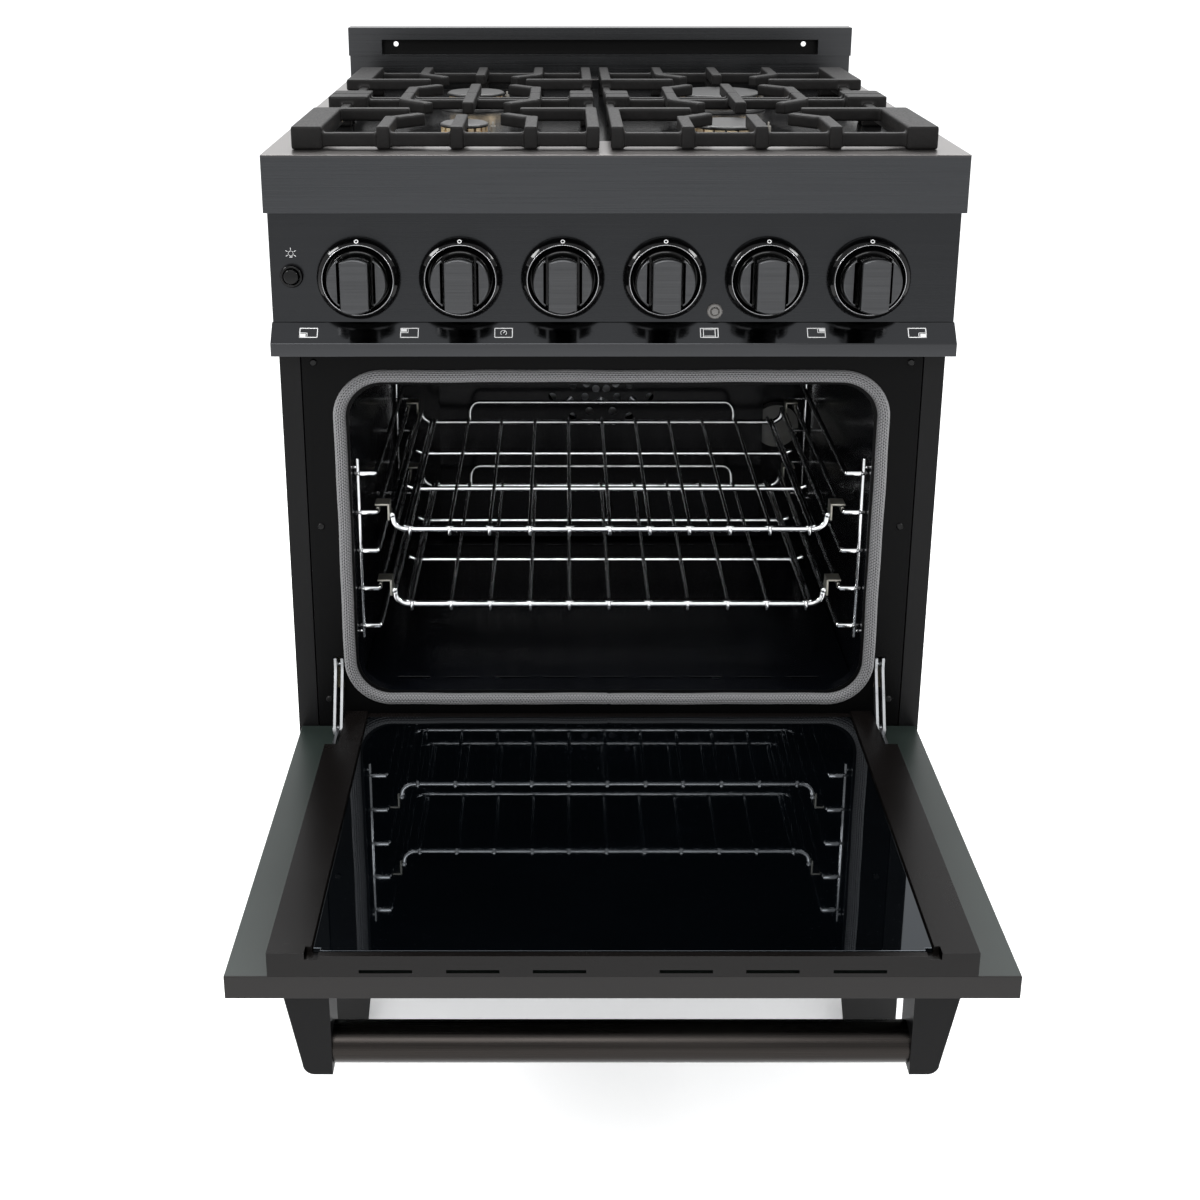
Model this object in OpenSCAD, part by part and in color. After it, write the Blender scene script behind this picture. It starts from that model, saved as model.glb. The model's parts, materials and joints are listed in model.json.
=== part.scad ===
// Freestanding gas range, 24 inch class, oven door shown lowered.
// Millimetres, +Z up, +X to the viewer's right, the front faces -Y.
// Lengths below are written from the plane of the oven's front frame (Y = 0)
// and place() moves them so that the origin is under the middle of the range.

/* [Cabinet] */
// Overall width of the cabinet
body_w = 606; // [560:2:660]
// Depth from the oven's front frame to the back of the rear cover
body_d = 612; // [600:1:640]
// Height of the cooktop's rim above the floor
top_h = 914; // [910:1:920]
// Height of the backguard above the cooktop
guard_h = 60; // [50:1:120]
// Height of the legs
leg_h = 100; // [80:1:104]
// Thickness of the cabinet sheet
sheet = 1.2; // [0.8:0.1:1.5]

/* [Front] */
// Height of the cooktop's front lip
lip_h = 50; // [46:1:51]
// How far the lip stands in front of the oven frame
lip_out = 40; // [36:1:44]
// How far the control panel stands in front of the oven frame
panel_out = 20.5; // [18:0.5:24]
// How far the drip rail stands in front of the oven frame
drip_out = 36; // [34:1:40]
// Height of the drip rail
drip_h = 28; // [26:1:32]
// Height of the underside of the drip rail
drip_z = 735; // [730:1:738]

/* [Knobs] */
// Spacing of the knobs
knob_pitch = 90; // [86:1:92]
// Height of the knob centres
knob_z = 803; // [796:1:808]
// Diameter of a knob's bezel
bezel_d = 74; // [68:1:80]
// Diameter of a knob
knob_d = 54; // [48:1:58]
// Width of the knob's grip
grip_w = 25; // [18:1:28]
// Diameter of the valve stems
stem_d = 8; // [6:0.5:9]

/* [Door] */
// Width of the door
door_w = 600; // [560:1:604]
// Height of the door's top edge when it is shut
door_top = 731.5; // [728:0.5:733]
// Height of the door's bottom edge when it is shut
door_bot = 338.5; // [336:0.5:342]
// Thickness of the outer panel
skin_t = 19.5; // [15:0.5:22]
// Thickness of the inner liner
liner_t = 20.5; // [15:0.5:22]
// Width of the inner liner
liner_w = 534; // [520:1:550]
// Diameter of the handle bar
handle_d = 32; // [24:1:34]
// Distance from the door's face to the middle of the handle bar
handle_out = 60; // [50:1:70]

/* [Oven] */
// Width of the oven's mouth
mouth_w = 484; // [460:1:488]
// Depth of the oven cavity
cavity_d = 425; // [410:1:450]
// Thickness of the door gasket
gasket_t = 12.5; // [10:0.5:14]
// Diameter of the rack's cross wires
rack_wire = 6; // [5:0.5:7]
// Spacing of the rack's long wires
rack_pitch = 38.3; // [36:0.1:38.5]

/* [Cooktop] */
// Width of the bars of the grates
bar_w = 11; // [9:1:13]
// Height of the grates above the rim
grate_h = 20; // [18:1:24]

/* [Hidden] */

$fn = 48;
half_w = body_w / 2;
// the hinge line of the oven door
hinge_y = -21.7;
hinge_z = door_bot + 19.3;
door_face = -(7 + liner_t + skin_t);
skin_in = door_face + skin_t;
door_near = hinge_y - (door_top - hinge_z);
y_mid = (body_d + 1.4 + door_near) / 2;
lip_z = top_h - lip_h;
tray_z = top_h - 12;
tray_y0 = 45;
tray_y1 = 574;
guard_y = 588;
mouth_z0 = 389;
mouth_z1 = 699;
mouth_r = 34;
knob_x = [for (i = [0 : 5]) (i - 2.5) * knob_pitch];
guide_x = 238;
rail_x = 221;
rail_levels = [452, 491, 530, 569, 608];
upper_z = 569;
lower_z = 491;
rack_drop = 22;
rack_y0 = 27;
rack_step = 112.7;
// burners: [x, y, base diameter, ring diameter, cap diameter]
burners = [[-138, 125, 104, 44, 46], [112, 125, 112, 66, 70], [-140, 385, 78, 58, 63], [126, 385, 104, 84, 90]];
fan_z = 600;
hole_x = 247;
hole_z = top_h + 40;
inlet_x = -210;
inlet_z = 190;

module place() { translate([0, -y_mid, 0]) children(); }
// turns parts drawn on the shut door down to the lowered position
module lowered() { translate([0, hinge_y, hinge_z]) rotate([90, 0, 0]) translate([0, -hinge_y, -hinge_z]) children(); }
module both() { children(); mirror([1, 0, 0]) children(); }
module box(a, b) { translate(a) cube([b[0] - a[0], b[1] - a[1], b[2] - a[2]]); }
// round bar from p to q
module rod(p, q, r) {
    d = [q[0] - p[0], q[1] - p[1], q[2] - p[2]];
    l = sqrt(d[0] * d[0] + d[1] * d[1] + d[2] * d[2]);
    translate(p) rotate([0, acos(d[2] / l), atan2(d[1], d[0])]) cylinder(r = r, h = l);
}
// bent wire through a list of points
module wire(pts, r) {
    for (i = [0 : len(pts) - 2]) rod(pts[i], pts[i + 1], r);
    if (len(pts) > 2) for (i = [1 : len(pts) - 2]) {
        d = [pts[i + 1][0] - pts[i][0], pts[i + 1][1] - pts[i][1], pts[i + 1][2] - pts[i][2]];
        l = sqrt(d[0] * d[0] + d[1] * d[1] + d[2] * d[2]);
        translate(pts[i]) rotate([0, acos(d[2] / l), atan2(d[1], d[0])]) sphere(r = r * 1.08);
    }
}
module along_y(y, h, r) { translate([0, y, 0]) rotate([-90, 0, 0]) cylinder(r = r, h = h); }
// profile given in Y and Z, extruded from x0 to x1
module yz(pts, x0, x1) { translate([x0, 0, 0]) rotate([90, 0, 90]) linear_extrude(x1 - x0) polygon(pts); }
// rectangle with round corners in X and Z, extruded along Y from y0 to y1
module rounded(w, z0, z1, r, y0, y1) {
    translate([0, y1, 0]) rotate([90, 0, 0]) linear_extrude(y1 - y0) union() {
        translate([-w / 2 + r, z0]) square([w - 2 * r, z1 - z0]);
        translate([-w / 2, z0 + r]) square([w, z1 - z0 - 2 * r]);
        for (x = [-w / 2 + r, w / 2 - r], z = [z0 + r, z1 - r]) translate([x, z]) circle(r);
    }
}
module rounded_ring(w, z0, z1, r, t, y0, y1) {
    difference() {
        rounded(w, z0, z1, r, y0, y1);
        rounded(w - 2 * t, z0 + t, z1 - t, r - t, y0 - 1, y1 + 1);
    }
}

module base_pan() color([0.2, 0.2, 0.2]) place() difference() {
    box([-half_w + 1.5, 0, leg_h], [half_w - 1.5, body_d - 2.5, leg_h + 22]);
    box([-half_w + 3, 1.5, leg_h + 1.5], [half_w - 3, body_d - 3.5, leg_h + 23]);
}

module leg() {
    // front plate, side plate and foot plate of one folded leg
    translate([0, 2, 0]) rotate([90, 0, 0]) linear_extrude(2) polygon([[-66, leg_h], [0, leg_h], [0, 5], [-2.5, 3], [-51, 3], [-55, 6]]);
    rotate([90, 0, -90]) linear_extrude(2) polygon([[-66, leg_h], [0, leg_h], [0, 3], [-51, 3], [-55, 6]]);
    difference() {
        translate([-52, 1, 16]) cube([51, 51, 3]);
        translate([-28, 26, 15]) cylinder(r = 5.1, h = 5);
    }
    translate([-60, 1, leg_h - 3]) cube([59, 59, 3]);
}
module legs() color([0.08, 0.08, 0.085]) place() both() {
    translate([half_w, 1, 0]) leg();
    translate([half_w, body_d - 3, 0]) mirror([0, 1, 0]) leg();
}

module levelling_feet() color([0.35, 0.35, 0.36]) place() both() for (y = [27, body_d - 29]) translate([half_w - 28, y, 0]) {
    cylinder(r = 19, h = 6);
    cylinder(r = 5, h = 34);
    translate([0, 0, 6]) cylinder(r = 9, h = 6, $fn = 6);
}

module side_panel() {
    // outer wall, front and rear returns and a row of vent slots
    difference() {
        union() {
            box([half_w - sheet, 0, leg_h + 0.5], [half_w, body_d - 1, lip_z + 24]);
            box([half_w - 19, 0, leg_h + 24], [half_w, sheet, drip_z + 25]);
            box([half_w - 19, 0, leg_h + 24], [half_w - 19 + sheet, 16, drip_z + 25]);
            box([half_w - 15, body_d - 1 - sheet, leg_h + 24], [half_w, body_d - 1, lip_z + 20]);
        }
        for (i = [0 : 7]) box([half_w - 5, 420 + i * 16, 150], [half_w + 1, 426 + i * 16, 210]);
    }
}
module left_side_panel() color([0.13, 0.13, 0.135]) place() mirror([1, 0, 0]) side_panel();
module right_side_panel() color([0.13, 0.13, 0.135]) place() side_panel();

module rear_cover() color([0.55, 0.56, 0.57]) place() difference() {
    box([-half_w + 2, body_d - 1, leg_h + 2], [half_w - 2, body_d, top_h - 22]);
    for (i = [0 : 5], s = [-1, 1]) box([s * 130 - 60, body_d - 3, 640 + i * 14], [s * 130 + 60, body_d + 1, 646 + i * 14]);
    box([inlet_x - 45, body_d - 3, inlet_z - 45], [inlet_x + 45, body_d + 1, inlet_z + 45]);
    box([170, body_d - 3, 160], [240, body_d + 1, 215]);
}

module front_frame() color([0.06, 0.06, 0.062]) place() difference() {
    union() {
        box([-half_w + 20, 0, door_bot - 14], [half_w - 20, 1.6, drip_z + 26]);
        box([-half_w + 20, 0, door_bot - 14], [half_w - 20, 22, door_bot - 12.4]);
        box([-half_w + 20, 0, door_bot - 14], [-half_w + 21.6, 22, drip_z + 26]);
        box([half_w - 21.6, 0, door_bot - 14], [half_w - 20, 22, drip_z + 26]);
    }
    rounded(mouth_w, mouth_z0, mouth_z1, mouth_r, -1, 3);
    both() box([256.8, -1, 392], [266.4, 3, 425]);
    both() box([236, -1, 355], [243, 3, 362]);
    // the gas pipe passes here
    box([-half_w + 18, 12, knob_z - 66], [-half_w + 24, 24, knob_z - 40]);
}

module oven_cavity() color([0.03, 0.035, 0.05]) place() difference() {
    union() {
        // walls behind the mouth
        rounded_ring(mouth_w + 2.4, mouth_z0 - 1.2, mouth_z1 + 1.2, mouth_r + 1.2, 1.2, 1.6, 12);
        box([-mouth_w / 2 - 1.2, 12, 350], [mouth_w / 2 + 1.2, cavity_d + 1.2, mouth_z1 + 1.2]);
    }
    box([-mouth_w / 2, 13.2, 351.2], [mouth_w / 2, cavity_d, mouth_z1]);
    rounded(mouth_w, mouth_z0, mouth_z1, mouth_r, 0, 20);
    translate([0, 0, fan_z]) along_y(cavity_d - 2, 6, 6);
    translate([208, 0, 528]) along_y(cavity_d - 2, 6, 22.2);
    translate([-mouth_w / 2 - 3, 60, 366]) rotate([0, 90, 0]) cylinder(r = 9, h = 6);
}

module oven_insulation() color([0.8, 0.78, 0.7]) place() difference() {
    box([-mouth_w / 2 - 30, 24, 349], [mouth_w / 2 + 30, cavity_d + 30, mouth_z1 + 30]);
    box([-mouth_w / 2 - 1.4, 23, 340], [mouth_w / 2 + 1.4, cavity_d + 1.4, mouth_z1 + 1.4]);
    translate([0, 0, fan_z]) along_y(cavity_d, 34, 48);
    translate([208, 0, 528]) along_y(cavity_d, 34, 26);
    translate([-mouth_w / 2 - 34, 60, 366]) rotate([0, 90, 0]) cylinder(r = 11, h = 40);
}

// woven tube that runs round the oven's mouth, flat where it meets the frame
module gasket_half(w, z0, z1, r) {
    g = gasket_t / 2;
    for (x = [-w / 2, w / 2]) translate([x, 0, z0 + r]) cylinder(r = g, h = z1 - z0 - 2 * r);
    for (z = [z0, z1]) translate([-w / 2 + r, 0, z]) rotate([0, 90, 0]) cylinder(r = g, h = w - 2 * r);
    for (c = [[w / 2 - r, z1 - r, 0], [-w / 2 + r, z1 - r, 90], [-w / 2 + r, z0 + r, 180], [w / 2 - r, z0 + r, 270]])
        translate([c[0], 0, c[1]]) rotate([90, -c[2], 0]) rotate_extrude(angle = 90) translate([r, 0]) circle(g);
}
module door_gasket() color([0.42, 0.42, 0.42]) place() difference() {
    translate([0, -0.3, 0]) gasket_half(mouth_w + gasket_t + 4, mouth_z0 - gasket_t / 2 - 2, mouth_z1 + gasket_t / 2 + 2, mouth_r + 6);
    box([-300, 0, 300], [300, 20, 800]);
}

module oven_floor_panel() color([0.04, 0.04, 0.05]) place() difference() {
    union() {
        box([-mouth_w / 2 + 1, 16, 386], [mouth_w / 2 - 1, 398, 387.5]);
        box([-mouth_w / 2 + 1, 16, 376], [mouth_w / 2 - 1, 17.5, 387.5]);
        box([-mouth_w / 2 + 1, 396.5, 376], [mouth_w / 2 - 1, 398, 387.5]);
        box([-mouth_w / 2 + 1, 16, 351.4], [-mouth_w / 2 + 2.5, 398, 387.5]);
        box([mouth_w / 2 - 2.5, 16, 351.4], [mouth_w / 2 - 1, 398, 387.5]);
    }
    for (i = [-4 : 4]) box([i * 48 - 16, 30, 385], [i * 48 + 16, 34, 389]);
    for (i = [-4 : 4]) box([i * 48 - 16, 380, 385], [i * 48 + 16, 384, 389]);
    translate([-mouth_w / 2 - 1, 60, 366]) rotate([0, 90, 0]) cylinder(r = 9, h = 6);
}

module oven_burner_tube() color([0.6, 0.61, 0.62]) place() difference() {
    union() {
        rod([-200, 100, 366], [200, 100, 366], 8);
        rod([-200, 300, 366], [200, 300, 366], 8);
        rod([-190, 97, 366], [-190, 303, 366], 6.5);
        rod([190, 97, 366], [190, 303, 366], 6.5);
        rod([-mouth_w / 2 - 20, 60, 366], [-183, 60, 366], 7);
        rod([-190, 58, 366], [-190, 98, 366], 5.6);
        for (x = [-120, 120]) box([x - 10, 95, 351.4], [x + 10, 105, 362]);
    }
    for (i = [-8 : 8]) translate([i * 20, 100, 370]) cylinder(r = 1.5, h = 6);
}

module fan_baffle() color([0.03, 0.035, 0.05]) place() difference() {
    union() {
        box([-190, 399, 392], [190, 400.2, mouth_z1 - 6]);
        both() box([188.8, 399, 392], [190, cavity_d, mouth_z1 - 6]);
    }
    for (k = [1 : 4], a = [0 : 30 : 330]) translate([(10 + k * 14) * sin(a + k * 15), 0, fan_z + (10 + k * 14) * cos(a + k * 15)]) along_y(395, 8, 4.5);
    translate([0, 0, fan_z]) along_y(395, 8, 5);
    // notch round the lamp
    box([180, 402, 498], [192, cavity_d + 1, 558]);
}

module fan_motor() color([0.5, 0.5, 0.52]) place() difference() {
    union() {
        translate([0, 0, fan_z]) along_y(cavity_d + 4, 46, 34);
        translate([0, 0, fan_z]) along_y(cavity_d + 50, 14, 22);
        box([-46, cavity_d + 1.2, fan_z - 6], [46, cavity_d + 6, fan_z + 6]);
    }
    translate([0, 0, fan_z]) along_y(cavity_d, 30, 4.05);
}

module convection_fan() color([0.62, 0.63, 0.65]) place() translate([0, 0, fan_z]) {
    along_y(403, 45, 4);
    difference() { along_y(404, 12, 14); along_y(403, 14, 3.9); }
    for (a = [0 : 45 : 315]) rotate([0, a, 0]) translate([12, 404, -0.8]) cube([56, 14, 1.6]);
    difference() { along_y(416.4, 1.6, 70); along_y(416, 3, 8); }
}

module oven_lamp_lens() color([0.85, 0.87, 0.85]) place() translate([208, 0, 528]) difference() {
    union() {
        along_y(cavity_d - 12, 40, 22);
        along_y(cavity_d - 16, 14, 26);
    }
    along_y(cavity_d - 8, 60, 18);
}

module rack_guides() color([0.75, 0.76, 0.78]) place() both() {
    for (y = [15, 386]) rod([guide_x, y, 440], [guide_x, y, 622], 2.2);
    for (z = rail_levels) wire([[guide_x, 15, z], [rail_x, 15, z], [rail_x, 386, z], [guide_x, 386, z]], 2.5);
    for (z = [446, 614], y = [15, 386]) rod([guide_x, y, z], [mouth_w / 2, y, z], 2.2);
}

// one rack: cross wires, long wires, side runners, hooks and the rear stop
module rack(z) {
    g = z - rack_drop;
    sx = 208;
    span = 5 * rack_pitch;
    for (k = [0 : 3]) {
        y = rack_y0 + k * rack_step;
        r = (k == 0 || k == 3) ? rack_wire / 2 : rack_wire / 2 - 0.5;
        if (k == 0 || k == 3) wire([[-sx, y, z - 7], [-sx + 1, y, g + 7], [-sx + 8, y, g], [sx - 8, y, g], [sx - 1, y, g + 7], [sx, y, z - 7]], r);
        else rod([-sx + 12, y, g], [sx - 12, y, g], r);
    }
    for (i = [-5 : 5]) rod([i * rack_pitch, rack_y0 - 3, g + rack_wire / 2 + 0.9], [i * rack_pitch, rack_y0 + 3 * rack_step + 3, g + rack_wire / 2 + 0.9], 1.9);
    both() {
        rod([sx, rack_y0 - 2, z - 7], [sx, rack_y0 + 3 * rack_step + 2, z - 7], 3);
        rod([span + 4.5, rack_y0, g + 2], [span + 4.5, rack_y0 + 3 * rack_step, g + 2], 2.5);
        for (y = [rack_y0 - 4, rack_y0 + 3 * rack_step - 12]) {
            box([sx + 2, y, z - 12], [sx + 4, y + 16, z + 4.8]);
            box([sx + 2, y, z + 2.8], [rail_x + 3, y + 16, z + 4.8]);
        }
    }
    y3 = rack_y0 + 3 * rack_step;
    wire([[-152, y3, g], [-152, y3 + 5, g + 16], [-146, y3 + 6, g + 22], [146, y3 + 6, g + 22], [152, y3 + 5, g + 16], [152, y3, g]], 2.4);
}
module upper_rack() color([0.8, 0.81, 0.83]) place() rack(upper_z);
module lower_rack() color([0.8, 0.81, 0.83]) place() rack(lower_z);

// steel arm from the frame's slot down to the hinge pin, one pair of plates a side
module hinge_arms() color([0.75, 0.76, 0.78]) place() both() {
    for (x = [257, 263.5]) yz([[hinge_y - 4.5, hinge_z - 2.5], [hinge_y + 4, hinge_z - 3.5], [2, 400], [24, 400], [24, 420], [3, 420], [3, 424], [-1.5, 424], [-2, 412], [hinge_y - 4.5, hinge_z + 4]], x, x + 2.5);
    translate([0, hinge_y, hinge_z]) rotate([0, 90, 0]) translate([0, 0, 255.5]) cylinder(r = 3, h = 11.2);
    translate([257, 16, 410]) rotate([0, 90, 0]) cylinder(r = 3, h = 9);
}

module cooktop() color([0.2, 0.2, 0.205]) place() difference() {
    union() {
        // rim with its front lip
        box([-half_w, -lip_out, lip_z], [half_w, -lip_out + 2, top_h]);
        box([-half_w, -lip_out, lip_z], [half_w, -0.2, lip_z + 2]);
        box([-half_w, -lip_out, top_h - 2], [half_w, guard_y + 20, top_h]);
        box([-half_w, -lip_out, lip_z], [-half_w + 2, -0.2, top_h]);
        box([half_w - 2, -lip_out, lip_z], [half_w, -0.2, top_h]);
        both() box([half_w - 3.4, -1, lip_z + 25], [half_w - 1.4, guard_y + 20, top_h]);
        // recessed tray
        box([-half_w + 18, tray_y0 - 2, tray_z - 2], [half_w - 18, tray_y1 + 2, top_h]);
    }
    box([-half_w + 20, tray_y0, tray_z], [half_w - 20, tray_y1, top_h + 1]);
    for (b = burners) translate([b[0], b[1], tray_z - 5]) cylinder(r = b[2] / 2 - 6, h = 8);
}

// box-shaped guard, open at the back, with a recessed band and two screw holes
module guard_shell() difference() {
    union() {
        box([-half_w + 1, guard_y, top_h], [half_w - 1, guard_y + 1.5, top_h + 27]);
        box([-half_w, guard_y - 3, top_h + 27], [half_w, guard_y + 24, top_h + guard_h]);
        both() box([half_w - 2.5, guard_y, top_h], [half_w - 1, guard_y + 22, top_h + 28]);
        both() box([half_w - 14, guard_y, top_h + 0.1], [half_w - 1, guard_y + 20, top_h + 1.5]);
    }
    // hollow of the upper band, open at the back
    box([-half_w + 1.5, guard_y - 1.5, top_h + 28.5], [half_w - 1.5, guard_y + 25, top_h + guard_h - 1.5]);
    // window of the recessed band
    box([-half_w + 40, guard_y - 5, top_h + 28.4], [half_w - 40, guard_y, top_h + 46]);
}
module guard_web() {
    difference() {
        box([-half_w + 1.5, guard_y + 10, top_h + 28.5], [half_w - 1.5, guard_y + 11.5, top_h + guard_h - 1.5]);
        for (x = [-hole_x, hole_x]) translate([x, 0, hole_z]) along_y(guard_y + 5, 12, 3);
    }
}

module backguard() color([0.18, 0.18, 0.185]) place() { guard_shell(); guard_web(); }

module control_panel() color([0.16, 0.165, 0.17]) place() difference() {
    union() {
        box([-half_w, -panel_out, drip_z + drip_h], [half_w, -panel_out + 1.6, lip_z]);
        both() box([half_w - 1.6, -panel_out, drip_z + drip_h], [half_w, -0.2, lip_z]);
        box([-half_w, -panel_out, lip_z - 1.6], [half_w, -0.2, lip_z]);
    }
    for (x = knob_x) translate([x, 0, knob_z]) along_y(-panel_out - 1, 4, 8);
    translate([-284, 0, knob_z + 2]) along_y(-panel_out - 1, 4, 8);
    translate([knob_pitch, 0, knob_z - 30]) along_y(-panel_out - 1, 4, 5);
}

module drip_rail() color([0.2, 0.205, 0.21]) place() yz([[-panel_out - 0.1, drip_z + drip_h], [-drip_out, drip_z + 12], [-drip_out, drip_z], [-0.2, drip_z], [-0.2, drip_z + 1.5], [-drip_out + 1.5, drip_z + 1.5], [-drip_out + 1.5, drip_z + 11.4], [-panel_out + 1.5, drip_z + drip_h - 2], [-panel_out + 1.5, drip_z + drip_h]], -half_w - 1, half_w + 1);

// dished bezels behind the knobs and the bezel of the lamp button
module control_bezels() color([0.02, 0.02, 0.022]) place() {
    for (x = knob_x) translate([x, -panel_out, knob_z]) rotate([90, 0, 0]) difference() {
        rotate_extrude($fn = 64) polygon([[5.5, 0], [bezel_d / 2, 0], [bezel_d / 2, 3], [bezel_d / 2 - 1.6, 8], [bezel_d / 2 - 4.5, 10.5], [bezel_d / 2 - 6, 9.5], [bezel_d / 2 - 7, 6], [12, 3], [5.5, 3]]);
    }
    translate([-284, -panel_out, knob_z + 2]) rotate([90, 0, 0]) rotate_extrude($fn = 48) polygon([[7.3, 0], [10.3, 0], [10.3, 3], [9.3, 4.5], [7.8, 4.5], [7.3, 4]]);
}

module valve_body(x) {
    translate([x, 0, knob_z]) {
        difference() {
            union() {
                along_y(-8, 30, 15);
                translate([-10, 10, -44]) cube([20, 14, 44]);
            }
            along_y(-9, 26, stem_d / 2 + 0.05);
        }
    }
}
module gas_valves() color([0.72, 0.62, 0.36]) place() for (x = knob_x) valve_body(x);

module gas_manifold() color([0.55, 0.56, 0.57]) place() {
    rod([-270, 17, knob_z - 54], [250, 17, knob_z - 54], 10);
    wire([[-270, 17, knob_z - 54], [-284, 30, knob_z - 54], [-284, 500, knob_z - 54], [-284, 500, inlet_z], [-284, 560, inlet_z], [inlet_x, 560, inlet_z], [inlet_x, 570, inlet_z]], 8);
    translate([inlet_x, 0, inlet_z]) along_y(556, body_d - 562, 10.67);
    translate([inlet_x, 0, inlet_z]) along_y(556, 18, 17);
}

module burner_supply_tubes() color([0.7, 0.71, 0.72]) place() {
    // one tube from each burner valve, each at its own height
    tube(knob_x[1], 846, burners[0]);
    tube(knob_x[4], 846, burners[1]);
    tube(knob_x[0], 862, burners[2]);
    tube(knob_x[5], 862, burners[3]);
}
module tube(v, z, b) {
    rod([v, 33, knob_z + 9], [v, 33, z], 3);
    translate([v, 33, z]) sphere(r = 3.4);
    rod([v, 33, z], [b[0], b[1], z], 3);
    translate([b[0], b[1], z]) sphere(r = 3.4);
    rod([b[0], b[1], z], [b[0], b[1], 884], 3);
}

module power_inlet() color([0.05, 0.05, 0.05]) place() difference() {
    union() {
        box([172, body_d - 30, 162], [238, body_d - 1, 213]);
        box([160, body_d - 32, 150], [250, body_d - 30, 225]);
    }
    box([182, body_d - 20, 172], [228, body_d + 1, 203]);
}

module lamp_button() color([0.03, 0.03, 0.032]) place() translate([-284, -panel_out, knob_z + 2]) rotate([90, 0, 0]) rotate_extrude($fn = 48) polygon([[0, -10], [6.9, -10], [6.9, 5], [6.1, 6.2], [0, 6.6]]);

module indicator_light() color([0.5, 0.1, 0.06]) place() translate([knob_pitch, -panel_out, knob_z - 30]) rotate([90, 0, 0]) {
    translate([0, 0, -6]) cylinder(r = 3, h = 8.6);
    rotate_extrude($fn = 40) polygon([[3.2, 0], [7, 0], [7, 1.2], [6, 2.6], [4.6, 2.6], [3.2, 1]]);
}

module kick_panel() color([0.1, 0.1, 0.105]) place() difference() {
    box([-half_w + 3, -22, leg_h + 2], [half_w - 3, -0.5, 320]);
    box([-half_w + 4.5, -20.5, leg_h + 3.5], [half_w - 4.5, 3, 318.5]);
    for (i = [-5 : 5]) box([i * 44 - 15, -24, 292], [i * 44 + 15, -19, 297]);
}

module burner_bases() color([0.07, 0.07, 0.072]) place() for (b = burners) translate([b[0], b[1], 0]) {
    rotate_extrude($fn = 64) polygon([[5, 884], [b[2] / 2 - 14, 884], [b[2] / 2 - 12, tray_z - 4], [b[2] / 2 - 6.5, tray_z - 3], [b[2] / 2 - 6.5, tray_z + 0.1], [b[2] / 2, tray_z + 0.1], [b[2] / 2 - 1, tray_z + 3], [b[3] / 2 + 1, tray_z + 7], [5, tray_z + 7]]);
}
module burner_rings() color([0.78, 0.62, 0.36]) place() for (b = burners) translate([b[0], b[1], tray_z + 7]) difference() {
    rotate_extrude($fn = 64) polygon([[b[3] / 2 - 8, 0], [b[3] / 2, 0], [b[3] / 2, 8], [b[3] / 2 - 8, 8]]);
    for (a = [0 : 20 : 340]) rotate([0, 0, a]) translate([b[3] / 2 - 10, -1.1, 4]) cube([14, 2.2, 6]);
}
module burner_caps() color([0.05, 0.05, 0.052]) place() for (b = burners) translate([b[0], b[1], tray_z + 15]) rotate_extrude($fn = 64) polygon([[0, 0], [b[4] / 2 - 1.2, 0], [b[4] / 2, 1.2], [b[4] / 2 - 0.5, 2.8], [b[4] / 2 - 3, 4.1], [0, 4.6]]);
module burner_electrodes() color([0.9, 0.9, 0.88]) place() for (b = burners) translate([b[0] + b[3] / 2 + 5, b[1] + 4, 0]) {
    translate([0, 0, tray_z + 7.5]) cylinder(r = 2.6, h = 7);
    translate([0, 0, tray_z + 14.4]) cylinder(r = 0.9, h = 4);
}

// straight bar of a grate in plan, from p to q, between heights z0 and z1
module bar(p, q, w, z0, z1) {
    d = [q[0] - p[0], q[1] - p[1]];
    l = sqrt(d[0] * d[0] + d[1] * d[1]);
    translate([p[0], p[1], z0]) rotate([0, 0, atan2(d[1], d[0])]) translate([0, -w / 2, 0]) cube([l, w, z1 - z0]);
}
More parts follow.
